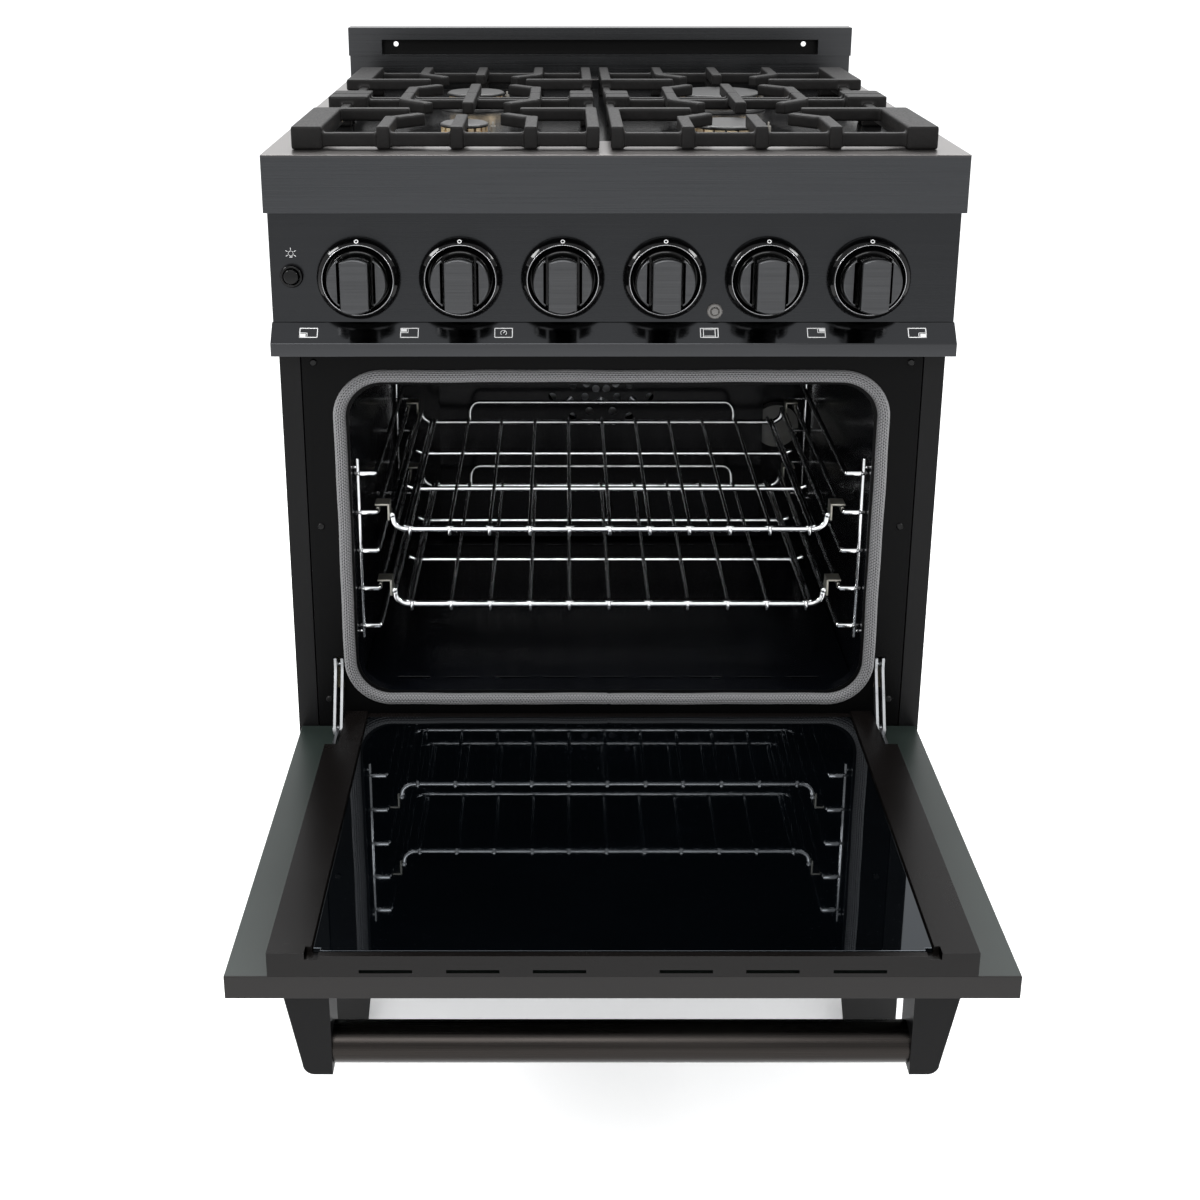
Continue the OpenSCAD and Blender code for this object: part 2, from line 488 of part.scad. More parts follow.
// a grate over one burner: x0 and x1 are its sides, xb and yb the burner, y0 the front
module grate(x0, x1, xb, yb, y0, y1, wide, front, feet_z) {
    zt = top_h + grate_h;
    zb = zt - 12;
    zl = top_h + 2;
    w = bar_w;
    o = wide < 0 ? x0 : x1;
    i = wide < 0 ? x1 : x0;
    s = wide < 0 ? 1 : -1;
    ya = front ? y0 : y1;
    t = front ? 1 : -1;
    dx = 64;
    dg = 27;
    // low cross bars near both ends
    bar([x0 + 4, ya + t * 8], [x1 - 4, ya + t * 8], 8, zl, zt - 6);
    bar([x0 + 4, (front ? y1 : y0) - t * 8], [x1 - 4, (front ? y1 : y0) - t * 8], 8, zl + 2, zt - 6);
    // wide outer rail and narrow inner rail, as far as the side fingers
    bar([o + s * 13.5, ya], [o + s * 13.5, yb + t * 6], 27, zb, zt);
    bar([i - s * w / 2, ya], [i - s * w / 2, yb + t * 6], w, zb, zt);
    // low rails behind them
    bar([o + s * 20, ya], [o + s * 20, front ? y1 : y0], 10, zl, zt - 8);
    bar([i - s * w / 2, ya], [i - s * w / 2, front ? y1 : y0], 8, zl, zt - 8);
    // knuckles where two grates meet
    bar([o + s * 1, (front ? y1 : y0) - t * 14], [o + s * 40, (front ? y1 : y0) - t * 14], 27, zl + 4, zt - 1);
    bar([i - s * 1, (front ? y1 : y0) - t * 14], [i - s * 25, (front ? y1 : y0) - t * 14], 27, zl + 4, zt - 1);
    for (q = [[o + s * 3, o + s * 22], [i - s * 3, i - s * 14]]) bar([q[0], (front ? y1 : y0) - t * 12], [q[1], (front ? y1 : y0) - t * 12], 12, tray_z, zt - 4);
    // side fingers
    bar([o + s * 20, yb], [xb - s * 52, yb], w, zb, zt);
    bar([i - s * 4, yb], [xb + s * 52, yb], w, zb, zt);
    // centre fingers
    bar([xb, ya], [xb, yb - t * 46], w, zb, zt);
    bar([xb, front ? y1 : y0], [xb, yb + t * 46], w, zb, zt);
    // arms that turn in towards the burner
    for (m = [-1, 1]) {
        bar([xb + m * dx, ya], [xb + m * dx, yb - t * 59], w, zb, zt);
        bar([xb + m * (dx + 1), yb - t * 63.1], [xb + m * 38, yb - t * 33], w, zb, zt - 0.4);
        bar([xb + m * dx, front ? y1 : y0], [xb + m * dx, yb + t * 75], w, zb, zt);
        bar([xb + m * (dx + 1), yb + t * 79.1], [xb + m * 38, yb + t * 48], w, zb, zt - 0.4);
        // feet at the outer edge
        bar([xb + m * dx, ya], [xb + m * dx, ya + t * 13], w, feet_z, zt);
    }
    bar([xb, ya], [xb, ya + t * 13], w, feet_z, zt);
    bar([o + s * 13.5, ya], [o + s * 13.5, ya + t * 16], 27, feet_z, zt);
    bar([i - s * w / 2, ya], [i - s * w / 2, ya + t * 13], w, feet_z, zt);
}
module grate_front_left() color([0.08, 0.08, 0.082]) place() grate(-281, -13, burners[0][0] + 1, 125, -9, 254.4, -1, true, top_h);
module grate_front_right() color([0.08, 0.08, 0.082]) place() grate(-3, 281, 128, 125, -9, 254.4, 1, true, top_h);
module grate_rear_left() color([0.08, 0.08, 0.082]) place() grate(-281, -13, burners[2][0] + 3, 385, 255.6, 519, -1, false, tray_z);
module grate_rear_right() color([0.08, 0.08, 0.082]) place() grate(-3, 281, 128, 385, 255.6, 519, 1, false, tray_z);

module stem(i) color([0.6, 0.6, 0.58]) place() translate([knob_x[i], 0, knob_z]) difference() {
    along_y(-panel_out - 28, 28 + panel_out + 15, stem_d / 2);
    translate([-6, -panel_out - 29, 2.6]) cube([12, 26, 4]);
}
module stem_1() stem(0);
module stem_2() stem(1);
module stem_3() stem(2);
module stem_4() stem(3);
module stem_5() stem(4);
module stem_6() stem(5);

// round knob with a raised grip across it and a groove on each side of the grip
module knob(i) color([0.13, 0.13, 0.135]) place() translate([knob_x[i], -panel_out, knob_z]) rotate([90, 0, 0]) difference() {
    union() {
        rotate_extrude($fn = 64) polygon([[0, 9.5], [knob_d / 2 - 1, 9.5], [knob_d / 2, 11], [knob_d / 2 - 1.5, 20], [knob_d / 2 - 4, 22.5], [0, 22.5]]);
        intersection() {
            translate([-grip_w / 2, -knob_d / 2 + 1, 10]) cube([grip_w, knob_d - 2, 28]);
            rotate_extrude($fn = 64) polygon([[0, 10], [knob_d / 2 - 0.5, 10], [knob_d / 2 - 3, 34], [knob_d / 2 - 6, 37], [0, 38]]);
        }
    }
    for (m = [-1, 1]) translate([m * (grip_w / 2 + 1.4) - 1.4, -knob_d, 14]) cube([2.8, knob_d * 2, 30]);
    difference() {
        translate([0, 0, 7]) cylinder(r = stem_d / 2 + 0.05, h = 25);
        translate([-6, 2.7, 6]) cube([12, 4, 27]);
    }
}
module knob_1() knob(0);
module knob_2() knob(1);
module knob_3() knob(2);
module knob_4() knob(3);
module knob_5() knob(4);
module knob_6() knob(5);

// the door's parts are drawn shut and then lowered
module door_outer_panel() color([0.14, 0.145, 0.15]) place() lowered() difference() {
    box([-door_w / 2, door_face, door_bot], [door_w / 2, skin_in, door_top]);
    box([-door_w / 2 + 1.5, door_face + 1.5, door_bot + 1.5], [door_w / 2 - 1.5, skin_in - 1.2, door_top - 1.5]);
    box([-liner_w / 2 + 14, skin_in - 3, door_bot + 20], [liner_w / 2 - 14, skin_in + 1, door_top - 12]);
    box([-190, door_face - 1, 450], [190, door_face + 3, 652]);
}
module door_outer_glass() color([0.02, 0.02, 0.025]) place() lowered() box([-205, door_face + 1.6, 436], [205, door_face + 5.6, 666]);

module door_liner() color([0.09, 0.095, 0.1]) place() lowered() difference() {
    union() {
        box([-liner_w / 2, skin_in, door_bot + 8], [liner_w / 2, -9.5, door_top]);
        both() box([234, -10, door_bot + 8], [liner_w / 2, -7, door_top]);
    }
    // hollow inside
    box([-liner_w / 2 + 1.2, skin_in - 1, door_bot + 9.2], [liner_w / 2 - 1.2, -14.2, door_top - 1.2]);
    both() box([238, -16, door_bot + 9.2], [liner_w / 2 - 1.2, -8.2, door_top - 1.2]);
    // seat of the inner glass, with a window behind it
    box([-233.6, -13, door_bot + 16], [233.6, -5, door_top - 5.5]);
    box([-205, -18, 440], [205, -5, 662]);
    // vent slots along the top edge
    for (x = [47.5, 112.5, 178], s = [-1, 1]) box([s * x - 20, skin_in + 3, door_top - 4], [s * x + 20, skin_in + 5.8, door_top + 1]);
    // slots for the hinge arms
    both() box([254.5, skin_in - 1, door_bot + 7], [liner_w / 2 + 0.5, -5, 412]);
    // notches with the glass clamp screws
    both() box([228, -12.5, door_top - 9], [238.5, -5, door_top + 1]);
}
module door_inner_glass() color([0.015, 0.018, 0.022]) place() lowered() difference() {
    box([-233, -13, door_bot + 16.6], [233, -9, door_top - 6]);
    both() box([227.5, -15, door_top - 9.4], [240, -5, door_top + 1]);
}

module door_hinge_bodies() color([0.6, 0.61, 0.63]) place() lowered() both() difference() {
    union() {
        // tongue round the pin, and the channel that is screwed inside the door
        translate([260, hinge_y, hinge_z]) rotate([0, 90, 0]) cylinder(r = 5.4, h = 3);
        yz([[hinge_y - 4.5, hinge_z + 4], [hinge_y - 4.5, hinge_z + 70], [hinge_y + 4, hinge_z + 70], [hinge_y + 4, hinge_z + 3]], 260, 263);
        box([240, skin_in + 0.5, 414], [264, -15.5, 540]);
    }
    box([241.5, skin_in + 2, 413], [260, -17, 541]);
    translate([250, hinge_y, hinge_z]) rotate([0, 90, 0]) cylinder(r = 3.05, h = 20);
}

module handle_bar() color([0.14, 0.14, 0.14]) place() lowered() translate([-236, door_face - handle_out, door_top - 28]) rotate([0, 90, 0]) cylinder(r = handle_d / 2, h = 472);
// tapered brackets that hold the bar off the door
module handle_brackets() color([0.09, 0.095, 0.1]) place() lowered() both() difference() {
    translate([0, 0, door_top - 46]) linear_extrude(36) union() {
        polygon([[223, door_face], [259, door_face], [246, door_face - handle_out - 8], [238, door_face - handle_out - 17], [223, door_face - handle_out - 17]]);
        translate([237, door_face - handle_out - 8]) circle(9);
    }
    translate([210, door_face - handle_out, door_top - 28]) rotate([0, 90, 0]) cylinder(r = handle_d / 2 + 0.05, h = 26.05);
}

module screw_head(p, r, ax) { translate(p) rotate(ax) cylinder(r1 = r, r2 = r * 0.7, h = 1.4); }
module fastening_screws() color([0.5, 0.5, 0.52]) place() {
    both() for (z = [380, 560, 720]) screw_head([272, 0, z], 3.6, [90, 0, 0]);
    both() for (z = [200, 520, 820]) screw_head([half_w - 30, body_d, z], 4, [-90, 0, 0]);
    for (x = [-180, 0, 180]) screw_head([x, body_d, 860], 4, [-90, 0, 0]);
    for (x = [-180, 0, 180]) screw_head([x, body_d, 130], 4, [-90, 0, 0]);
}

base_pan();
legs();
levelling_feet();
left_side_panel();
right_side_panel();
rear_cover();
front_frame();
oven_cavity();
oven_insulation();
door_gasket();
oven_floor_panel();
oven_burner_tube();
fan_baffle();
fan_motor();
convection_fan();
oven_lamp_lens();
rack_guides();
upper_rack();
lower_rack();
hinge_arms();
cooktop();
backguard();
control_panel();
drip_rail();
control_bezels();
gas_valves();
gas_manifold();
burner_supply_tubes();
power_inlet();
lamp_button();
indicator_light();
kick_panel();
burner_bases();
burner_rings();
burner_caps();
burner_electrodes();
grate_front_left();
grate_front_right();
grate_rear_left();
grate_rear_right();
stem_1();
stem_2();
stem_3();
stem_4();
stem_5();
stem_6();
knob_1();
knob_2();
knob_3();
knob_4();
knob_5();
knob_6();
door_outer_panel();
door_outer_glass();
door_liner();
door_inner_glass();
door_hinge_bodies();
handle_bar();
handle_brackets();
fastening_screws();
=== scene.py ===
import json
import math

import bmesh
import bpy
import numpy as np
from mathutils import Matrix, Vector

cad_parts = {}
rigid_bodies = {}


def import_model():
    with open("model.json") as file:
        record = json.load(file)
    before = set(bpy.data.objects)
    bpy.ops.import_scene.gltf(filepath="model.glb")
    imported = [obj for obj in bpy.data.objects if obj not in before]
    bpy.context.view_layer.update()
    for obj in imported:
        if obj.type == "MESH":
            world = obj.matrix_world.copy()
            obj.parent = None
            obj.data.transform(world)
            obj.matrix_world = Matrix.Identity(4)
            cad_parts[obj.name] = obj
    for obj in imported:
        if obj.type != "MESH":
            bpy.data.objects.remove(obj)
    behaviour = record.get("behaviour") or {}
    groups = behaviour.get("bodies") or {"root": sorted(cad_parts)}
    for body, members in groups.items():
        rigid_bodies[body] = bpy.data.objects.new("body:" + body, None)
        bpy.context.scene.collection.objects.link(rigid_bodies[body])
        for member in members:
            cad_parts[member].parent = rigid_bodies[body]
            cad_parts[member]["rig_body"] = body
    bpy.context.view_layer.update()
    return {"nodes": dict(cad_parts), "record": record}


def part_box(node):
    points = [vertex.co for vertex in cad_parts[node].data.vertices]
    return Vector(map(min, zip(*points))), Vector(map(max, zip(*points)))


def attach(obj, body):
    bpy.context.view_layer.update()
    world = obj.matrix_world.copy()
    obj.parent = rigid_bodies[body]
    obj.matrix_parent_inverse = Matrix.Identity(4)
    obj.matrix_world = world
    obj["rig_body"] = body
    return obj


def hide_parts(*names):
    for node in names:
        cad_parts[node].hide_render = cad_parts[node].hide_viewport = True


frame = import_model()
record = frame["record"]
NODES = frame["nodes"]
mm = 0.001

BODY_OF = {n: o["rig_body"] for n, o in NODES.items()}


# ---------------------------------------------------------------- materials
class Tree:
    """Short names for building a shader."""

    def __init__(self, name):
        self.mat = bpy.data.materials.new(name)
        self.mat.use_nodes = True
        self.t = self.mat.node_tree
        self.p = next(n for n in self.t.nodes if n.type == "BSDF_PRINCIPLED")
        self.coord = self.t.nodes.new("ShaderNodeTexCoord")

    def link(self, a, b):
        self.t.links.new(a, b)

    def mapping(self, scale, rotation=(0, 0, 0), source="Object"):
        m = self.t.nodes.new("ShaderNodeMapping")
        m.inputs["Scale"].default_value = scale
        m.inputs["Rotation"].default_value = rotation
        self.link(self.coord.outputs[source], m.inputs["Vector"])
        return m.outputs["Vector"]

    def noise(self, vector, scale=1.0, detail=4.0, rough=0.55, distortion=0.0):
        n = self.t.nodes.new("ShaderNodeTexNoise")
        n.inputs["Scale"].default_value = scale
        n.inputs["Detail"].default_value = detail
        n.inputs["Roughness"].default_value = rough
        n.inputs["Distortion"].default_value = distortion
        self.link(vector, n.inputs["Vector"])
        return n.outputs["Fac"]

    def voronoi(self, vector, scale=1.0, feature="F1", output="Distance"):
        n = self.t.nodes.new("ShaderNodeTexVoronoi")
        n.feature = feature
        n.inputs["Scale"].default_value = scale
        self.link(vector, n.inputs["Vector"])
        return n.outputs[output]

    def wave(self, vector, scale, axis="X", distortion=0.0, detail=1.0):
        n = self.t.nodes.new("ShaderNodeTexWave")
        n.bands_direction = axis
        n.inputs["Scale"].default_value = scale
        n.inputs["Distortion"].default_value = distortion
        n.inputs["Detail"].default_value = detail
        self.link(vector, n.inputs["Vector"])
        return n.outputs["Fac"]

    def ramp(self, fac, stops):
        r = self.t.nodes.new("ShaderNodeValToRGB")
        e = r.color_ramp.elements
        while len(e) < len(stops):
            e.new(0.5)
        for k, (pos, col) in enumerate(stops):
            e[k].position = pos
            e[k].color = (*col, 1) if len(col) == 3 else col
        self.link(fac, r.inputs["Fac"])
        return r.outputs["Color"]

    def span(self, fac, a, b, low=0.3, high=0.7):
        m = self.t.nodes.new("ShaderNodeMapRange")
        m.inputs["From Min"].default_value = low
        m.inputs["From Max"].default_value = high
        m.inputs["To Min"].default_value = a
        m.inputs["To Max"].default_value = b
        self.link(fac, m.inputs["Value"])
        return m.outputs["Result"]

    def math(self, op, a, b):
        m = self.t.nodes.new("ShaderNodeMath")
        m.operation = op
        for k, v in enumerate((a, b)):
            if isinstance(v, (int, float)):
                m.inputs[k].default_value = v
            else:
                self.link(v, m.inputs[k])
        return m.outputs["Value"]

    def bump(self, height, strength, distance, normal=None):
        b = self.t.nodes.new("ShaderNodeBump")
        b.inputs["Strength"].default_value = strength
        b.inputs["Distance"].default_value = distance
        self.link(height, b.inputs["Height"])
        if normal is not None:
            self.link(normal, b.inputs["Normal"])
        self.link(b.outputs["Normal"], self.p.inputs["Normal"])
        return b.outputs["Normal"]

    def set(self, **kw):
        for k, v in kw.items():
            self.p.inputs[k.replace("_", " ")].default_value = v

    def color(self, socket):
        self.link(socket, self.p.inputs["Base Color"])

    def rough(self, socket):
        self.link(socket, self.p.inputs["Roughness"])


    def within(self, lo, hi):
        """1 inside a box given in the part's own coordinates, in metres, else 0."""
        s = self.t.nodes.new("ShaderNodeSeparateXYZ")
        self.link(self.coord.outputs["Object"], s.inputs[0])
        f = None
        for k in range(3):
            for v, op in ((lo[k], "GREATER_THAN"), (hi[k], "LESS_THAN")):
                if v is not None:
                    g = self.math(op, s.outputs[k], v)
                    f = g if f is None else self.math("MULTIPLY", f, g)
        return f

    def mix(self, fac, a, b, kind="RGBA"):
        m = self.t.nodes.new("ShaderNodeMix")
        m.data_type = kind
        k = {"RGBA": 2, "FLOAT": 0}[kind]
        socks = [i for i in m.inputs if i.type == kind.replace("FLOAT", "VALUE")]
        fa = m.inputs["Factor"] if kind == "RGBA" else m.inputs[0]
        self.link(fac, fa)
        names = [i for i in m.inputs if i.name in ("A", "B") and i.type == {"RGBA": "RGBA", "FLOAT": "VALUE"}[kind]]
        for sock, v in zip(names, (a, b)):
            if isinstance(v, tuple):
                sock.default_value = (*v, 1)
            elif isinstance(v, (int, float)):
                sock.default_value = v
            else:
                self.link(v, sock)
        out = [o for o in m.outputs if o.type == {"RGBA": "RGBA", "FLOAT": "VALUE"}[kind]]
        return out[0]

    def retint(self, fac, c, rough=None, spec=None, metal=None):
        """Where fac is 1 the colour is c instead, keeping the same grain: either a different finish, or painted light
        or shade.
        """
        col = self.p.inputs["Base Color"].links[0].from_socket
        grain = self.noise(self.mapping((8, 900, 900)), 1.0, 3.0, 0.6)
        self.color(self.mix(fac, col, self.ramp(grain, [(0.3, shade(c, 0.93)), (0.7, shade(c, 1.07))])))
        for name, v in (("Roughness", rough), ("Specular IOR Level", spec), ("Metallic", metal)):
            if v is None:
                continue
            sock = self.p.inputs[name]
            was = sock.links[0].from_socket if sock.links else sock.default_value
            self.link(self.mix(fac, was, self.span(grain, v - 0.02, v + 0.02) if name == "Roughness" else float(v), "FLOAT"), sock)


def shade(c, k):
    return tuple(max(0.0, x * k) for x in c)


def brushed(name, c, rough, along="X", metal=1.0, spread=0.16, bump=0.12, smudge=0.06, spec=0.5, grain=1.0):
    """Rolled and brushed sheet: fine lines along one axis, faint blotches and a few smudges."""
    t = Tree(name)
    k = {"X": (6, 900, 900), "Y": (900, 6, 900), "Z": (900, 900, 6)}[along]
    lines = t.noise(t.mapping(tuple(v * grain for v in k)), 1.0, 3.0, 0.6)
    cloud = t.noise(t.mapping((5, 5, 5)), 1.0, 3.0, 0.5)
    fine = t.noise(t.mapping((140, 140, 140)), 1.0, 2.0, 0.5)
    both = t.math("ADD", t.math("MULTIPLY", lines, 0.75), t.math("MULTIPLY", cloud, 0.25))
    t.color(t.ramp(both, [(0.3, shade(c, 1 - spread)), (0.52, c), (0.72, shade(c, 1 + spread))]))
    r = t.math("ADD", t.span(lines, rough - 0.03, rough + 0.04), t.math("MULTIPLY", t.span(cloud, -smudge / 2, smudge, 0.35, 0.7), t.span(fine, 0.7, 1.2)))
    t.rough(r)
    t.bump(lines, bump, 0.00004)
    t.set(Metallic=metal, Specular_IOR_Level=spec)
    return t


def enamel(name, c, rough, spec=0.5, peel=0.12, speck=0.0, coat=0.0, metal=0.0):
    """Sprayed or fired gloss coat: orange peel, dust specks and faint cleaning marks."""
    t = Tree(name)
    cloud = t.noise(t.mapping((7, 7, 7)), 1.0, 4.0, 0.6)
    peelf = t.noise(t.mapping((420, 420, 420)), 1.0, 2.0, 0.5)
    dust = t.noise(t.mapping((900, 900, 900)), 1.0, 1.0, 0.5)
    base = t.math("ADD", t.math("MULTIPLY", cloud, 0.7), t.math("MULTIPLY", dust, 0.3))
    stops = [(0.3, shade(c, 0.8)), (0.55, c), (0.72, shade(c, 1.25 + speck))]
    t.color(t.ramp(base, stops))
    t.rough(t.math("ADD", t.span(cloud, rough - 0.03, rough + 0.05), t.span(dust, 0.0, 0.03)))
    t.bump(peelf, peel, 0.00006)
    t.set(Metallic=metal, Specular_IOR_Level=spec, Coat_Weight=coat, Coat_Roughness=0.06)
    return t


def cast(name, c, rough, spec=0.3, grain=0.5):
    """Sand-cast iron under matt black enamel."""
    t = Tree(name)
    g1 = t.noise(t.mapping((520, 520, 520)), 1.0, 4.0, 0.65)
    g2 = t.noise(t.mapping((60, 60, 60)), 1.0, 3.0, 0.55)
    pits = t.voronoi(t.mapping((700, 700, 700)))
    mix = t.math("ADD", t.math("MULTIPLY", g1, 0.6), t.math("MULTIPLY", g2, 0.4))
    t.color(t.ramp(mix, [(0.32, shade(c, 0.65)), (0.52, c), (0.7, shade(c, 1.5))]))
    t.rough(t.span(g1, rough - 0.1, rough + 0.08))
    n = t.bump(g1, grain, 0.00018)
    n = t.bump(pits, grain * 0.35, 0.00012, n)
    t.bump(g2, grain * 0.5, 0.0005, n)
    t.set(Metallic=0.0, Specular_IOR_Level=spec)
    return t


def polished(name, c, rough, pull=(40, 40, 40)):
    """Plated or drawn wire and bright steel."""
    t = Tree(name)
    a = t.noise(t.mapping(pull), 1.0, 4.0, 0.6)
    b = t.noise(t.mapping((600, 600, 600)), 1.0, 2.0, 0.5)
    t.color(t.ramp(a, [(0.3, shade(c, 0.72)), (0.5, c), (0.7, tuple(min(1, x * 1.12) for x in c))]))
    t.rough(t.math("ADD", t.span(a, rough - 0.03, rough + 0.08), t.span(b, 0.0, 0.05)))
    t.bump(b, 0.08, 0.00005)
    t.set(Metallic=1.0)
    return t


def zinc(name, c, rough):
    """Galvanised sheet with large soft spangles."""
    t = Tree(name)
    cells = t.voronoi(t.mapping((70, 70, 70)), output="Color")
    sep = t.t.nodes.new("ShaderNodeSeparateColor")
    t.link(cells, sep.inputs["Color"])
    n = t.noise(t.mapping((16, 16, 16)), 1.0, 4.0, 0.6)
    f = t.math("ADD", t.math("MULTIPLY", sep.outputs[0], 0.55), t.math("MULTIPLY", n, 0.45))
    t.color(t.ramp(f, [(0.15, shade(c, 0.78)), (0.5, c), (0.85, shade(c, 1.16))]))
    t.rough(t.span(sep.outputs[1], rough - 0.08, rough + 0.1, 0, 1))
    t.bump(f, 0.05, 0.0001)
    t.set(Metallic=1.0)
    return t


def braid(name, c):
    """Woven glass-fibre rope: ribs along its length and slanted strands, coloured with painted shade in the grooves and
    painted highlight on the strand crests. UV runs along and round the rope, in millimetres.
    """
    t = Tree(name)
    uv = t.mapping((1, 1, 1), source="UV")
    ribs = t.wave(t.mapping((1, 1, 1), source="UV"), 0.15, "Y", 0.5, 1.0)
    s1 = t.wave(t.mapping((1, 1, 1), (0, 0, math.radians(38)), "UV"), 0.13, "X", 1.0, 2.0)
    s2 = t.wave(t.mapping((1, 1, 1), (0, 0, math.radians(-38)), "UV"), 0.13, "X", 1.0, 2.0)
    fuzz = t.noise(uv, 0.9, 5.0, 0.75)
    weave = t.math("MAXIMUM", s1, s2)
    h = t.math("ADD", t.math("MULTIPLY", weave, 0.45), t.math("ADD", t.math("MULTIPLY", ribs, 0.3), t.math("MULTIPLY", fuzz, 0.5)))
    # painted shade and painted highlight: the colour follows the weave height, dark in the grooves and pale on the
    # crests
    t.color(t.ramp(h, [(0.42, shade(c, 0.2)), (0.62, c), (0.82, shade(c, 2.3))]))
    t.rough(t.span(fuzz, 0.75, 0.95))
    t.bump(h, 0.9, 0.0009)
    t.set(Metallic=0.0, Specular_IOR_Level=0.25, Sheen_Weight=0.15)
    return t


def wool(name, c):
    t = Tree(name)
    a = t.noise(t.mapping((160, 160, 30)), 1.0, 6.0, 0.7, 1.2)
    b = t.noise(t.mapping((20, 20, 20)), 1.0, 4.0, 0.6)
    f = t.math("ADD", t.math("MULTIPLY", a, 0.6), t.math("MULTIPLY", b, 0.4))
    t.color(t.ramp(f, [(0.3, shade(c, 0.7)), (0.55, c), (0.75, shade(c, 1.15))]))
    t.rough(t.span(a, 0.85, 1.0))
    t.bump(a, 0.9, 0.001)
    return t


def gloss_black(name, c, rough, ior=1.5, coat=0.0, tint=(1, 1, 1), spec=0.2):
    """Black glass or glossy moulding with a little dust and wiping haze."""
    t = Tree(name)
    haze = t.noise(t.mapping((4, 9, 4)), 1.0, 5.0, 0.6, 0.6)
    dust = t.voronoi(t.mapping((260, 260, 260)))
    spot = t.math("LESS_THAN", dust, 0.045)
    mixc = t.t.nodes.new("ShaderNodeMix")
    mixc.data_type = "RGBA"
    t.link(t.ramp(haze, [(0.3, shade(c, 0.7)), (0.6, c), (0.8, shade(c, 1.5))]), mixc.inputs["A"])
    mixc.inputs["B"].default_value = (*[min(1, x * 4 + 0.01) for x in c], 1)
    t.link(spot, mixc.inputs["Factor"])
    t.color(mixc.outputs["Result"])
    t.rough(t.math("ADD", t.span(haze, rough * 0.6, rough * 1.7), t.math("MULTIPLY", spot, 0.3)))
    t.bump(haze, 0.02, 0.0002)
    t.set(IOR=ior, Specular_IOR_Level=spec, Coat_Weight=coat, Coat_Roughness=0.03, Specular_Tint=(*tint, 1))
    return t


def plastic(name, c, rough, spec=0.5):
    t = Tree(name)
    a = t.noise(t.mapping((1100, 1100, 1100)), 1.0, 2.0, 0.5)
    b = t.noise(t.mapping((30, 30, 30)), 1.0, 3.0, 0.5)
    t.color(t.ramp(b, [(0.3, shade(c, 0.85)), (0.55, c), (0.75, shade(c, 1.2))]))
    t.rough(t.span(a, rough - 0.06, rough + 0.08))
    t.bump(a, 0.25, 0.00008)
    t.set(Specular_IOR_Level=spec)
    return t


M = {
    "galvanised": zinc("galvanised", (0.42, 0.43, 0.44), 0.42),
    "leg_steel": enamel("leg_steel", (0.006, 0.006, 0.006), 0.4, 0.2, 0.2),
    "foot_rubber": plastic("foot_rubber", (0.012, 0.012, 0.012), 0.7, 0.3),
    "side_steel": enamel("side_steel", (0.0045, 0.0045, 0.0047), 0.32, 0.11, 0.3),
    "frame_enamel": enamel("frame_enamel", (0.0022, 0.0022, 0.0023), 0.28, 0.05, 0.25),
    "oven_enamel": enamel("oven_enamel", (0.0012, 0.0015, 0.0024), 0.18, 0.2, 0.2, speck=1.0),
    "insulation_wool": wool("insulation_wool", (0.55, 0.5, 0.34)),
    "gasket_braid": braid("gasket_braid", (0.085, 0.085, 0.087)),
    "tube_steel": polished("tube_steel", (0.5, 0.51, 0.52), 0.28),
    "fan_steel": polished("fan_steel", (0.45, 0.46, 0.48), 0.3),
    "lamp_glass": plastic("lamp_glass", (0.16, 0.16, 0.15), 0.12),
    "wire_chrome": polished("wire_chrome", (0.66, 0.67, 0.68), 0.12),
    "hinge_steel": polished("hinge_steel", (0.4, 0.41, 0.42), 0.25),
    "cooktop_steel": brushed("cooktop_steel", (0.06, 0.06, 0.062), 0.27),
    "guard_steel": brushed("guard_steel", (0.045, 0.046, 0.048), 0.28, spread=0.1),
    "panel_steel": brushed("panel_steel", (0.025, 0.0258, 0.0272), 0.26, spread=0.05, bump=0.06),
    "rail_steel": brushed("rail_steel", (0.042, 0.043, 0.045), 0.12, spread=0.06, smudge=0.03, bump=0.06),
    "bezel_gloss": gloss_black("bezel_gloss", (0.0012, 0.0012, 0.0013), 0.07),
    "valve_brass": polished("valve_brass", (0.72, 0.53, 0.26), 0.3),
    "inlet_plastic": plastic("inlet_plastic", (0.01, 0.01, 0.01), 0.4),
    "indicator_lens": plastic("indicator_lens", (0.13, 0.125, 0.12), 0.15),
    "burner_base_iron": cast("burner_base_iron", (0.012, 0.012, 0.012), 0.5, 0.35, 0.3),
    "burner_brass": polished("burner_brass", (0.98, 0.78, 0.52), 0.38),
    "cap_enamel": enamel("cap_enamel", (0.008, 0.008, 0.008), 0.42, 0.4, 0.3),
    "electrode_ceramic": plastic("electrode_ceramic", (0.2, 0.19, 0.17), 0.3),
    "grate_iron": cast("grate_iron", (0.0058, 0.0054, 0.0053), 0.48, 0.14, 0.45),
    "stem_steel": polished("stem_steel", (0.55, 0.55, 0.53), 0.3),
    "knob_metal": brushed("knob_metal", (0.056, 0.057, 0.059), 0.32, spread=0.2, bump=0.25, grain=0.7),
    "door_steel": enamel("door_steel", (0.014, 0.02, 0.0175), 0.3, 0.4, 0.15),
    "door_glass": gloss_black("door_glass", (0.0006, 0.0009, 0.0013), 0.018, 1.62, tint=(0.8, 0.9, 1.0), spec=0.5),
    "liner_enamel": enamel("liner_enamel", (0.0032, 0.0026, 0.0024), 0.22, 0.16, 0.15),
    "handle_steel": brushed("handle_steel", (0.024, 0.0215, 0.02), 0.26, spread=0.12),
    "bracket_black": enamel("bracket_black", (0.003, 0.003, 0.0032), 0.36, 0.1, 0.15),
    "screw_steel": polished("screw_steel", (0.02, 0.02, 0.02), 0.4),
}
PRINT = plastic("print_white", (0.72, 0.72, 0.72), 0.5, 0.2).mat
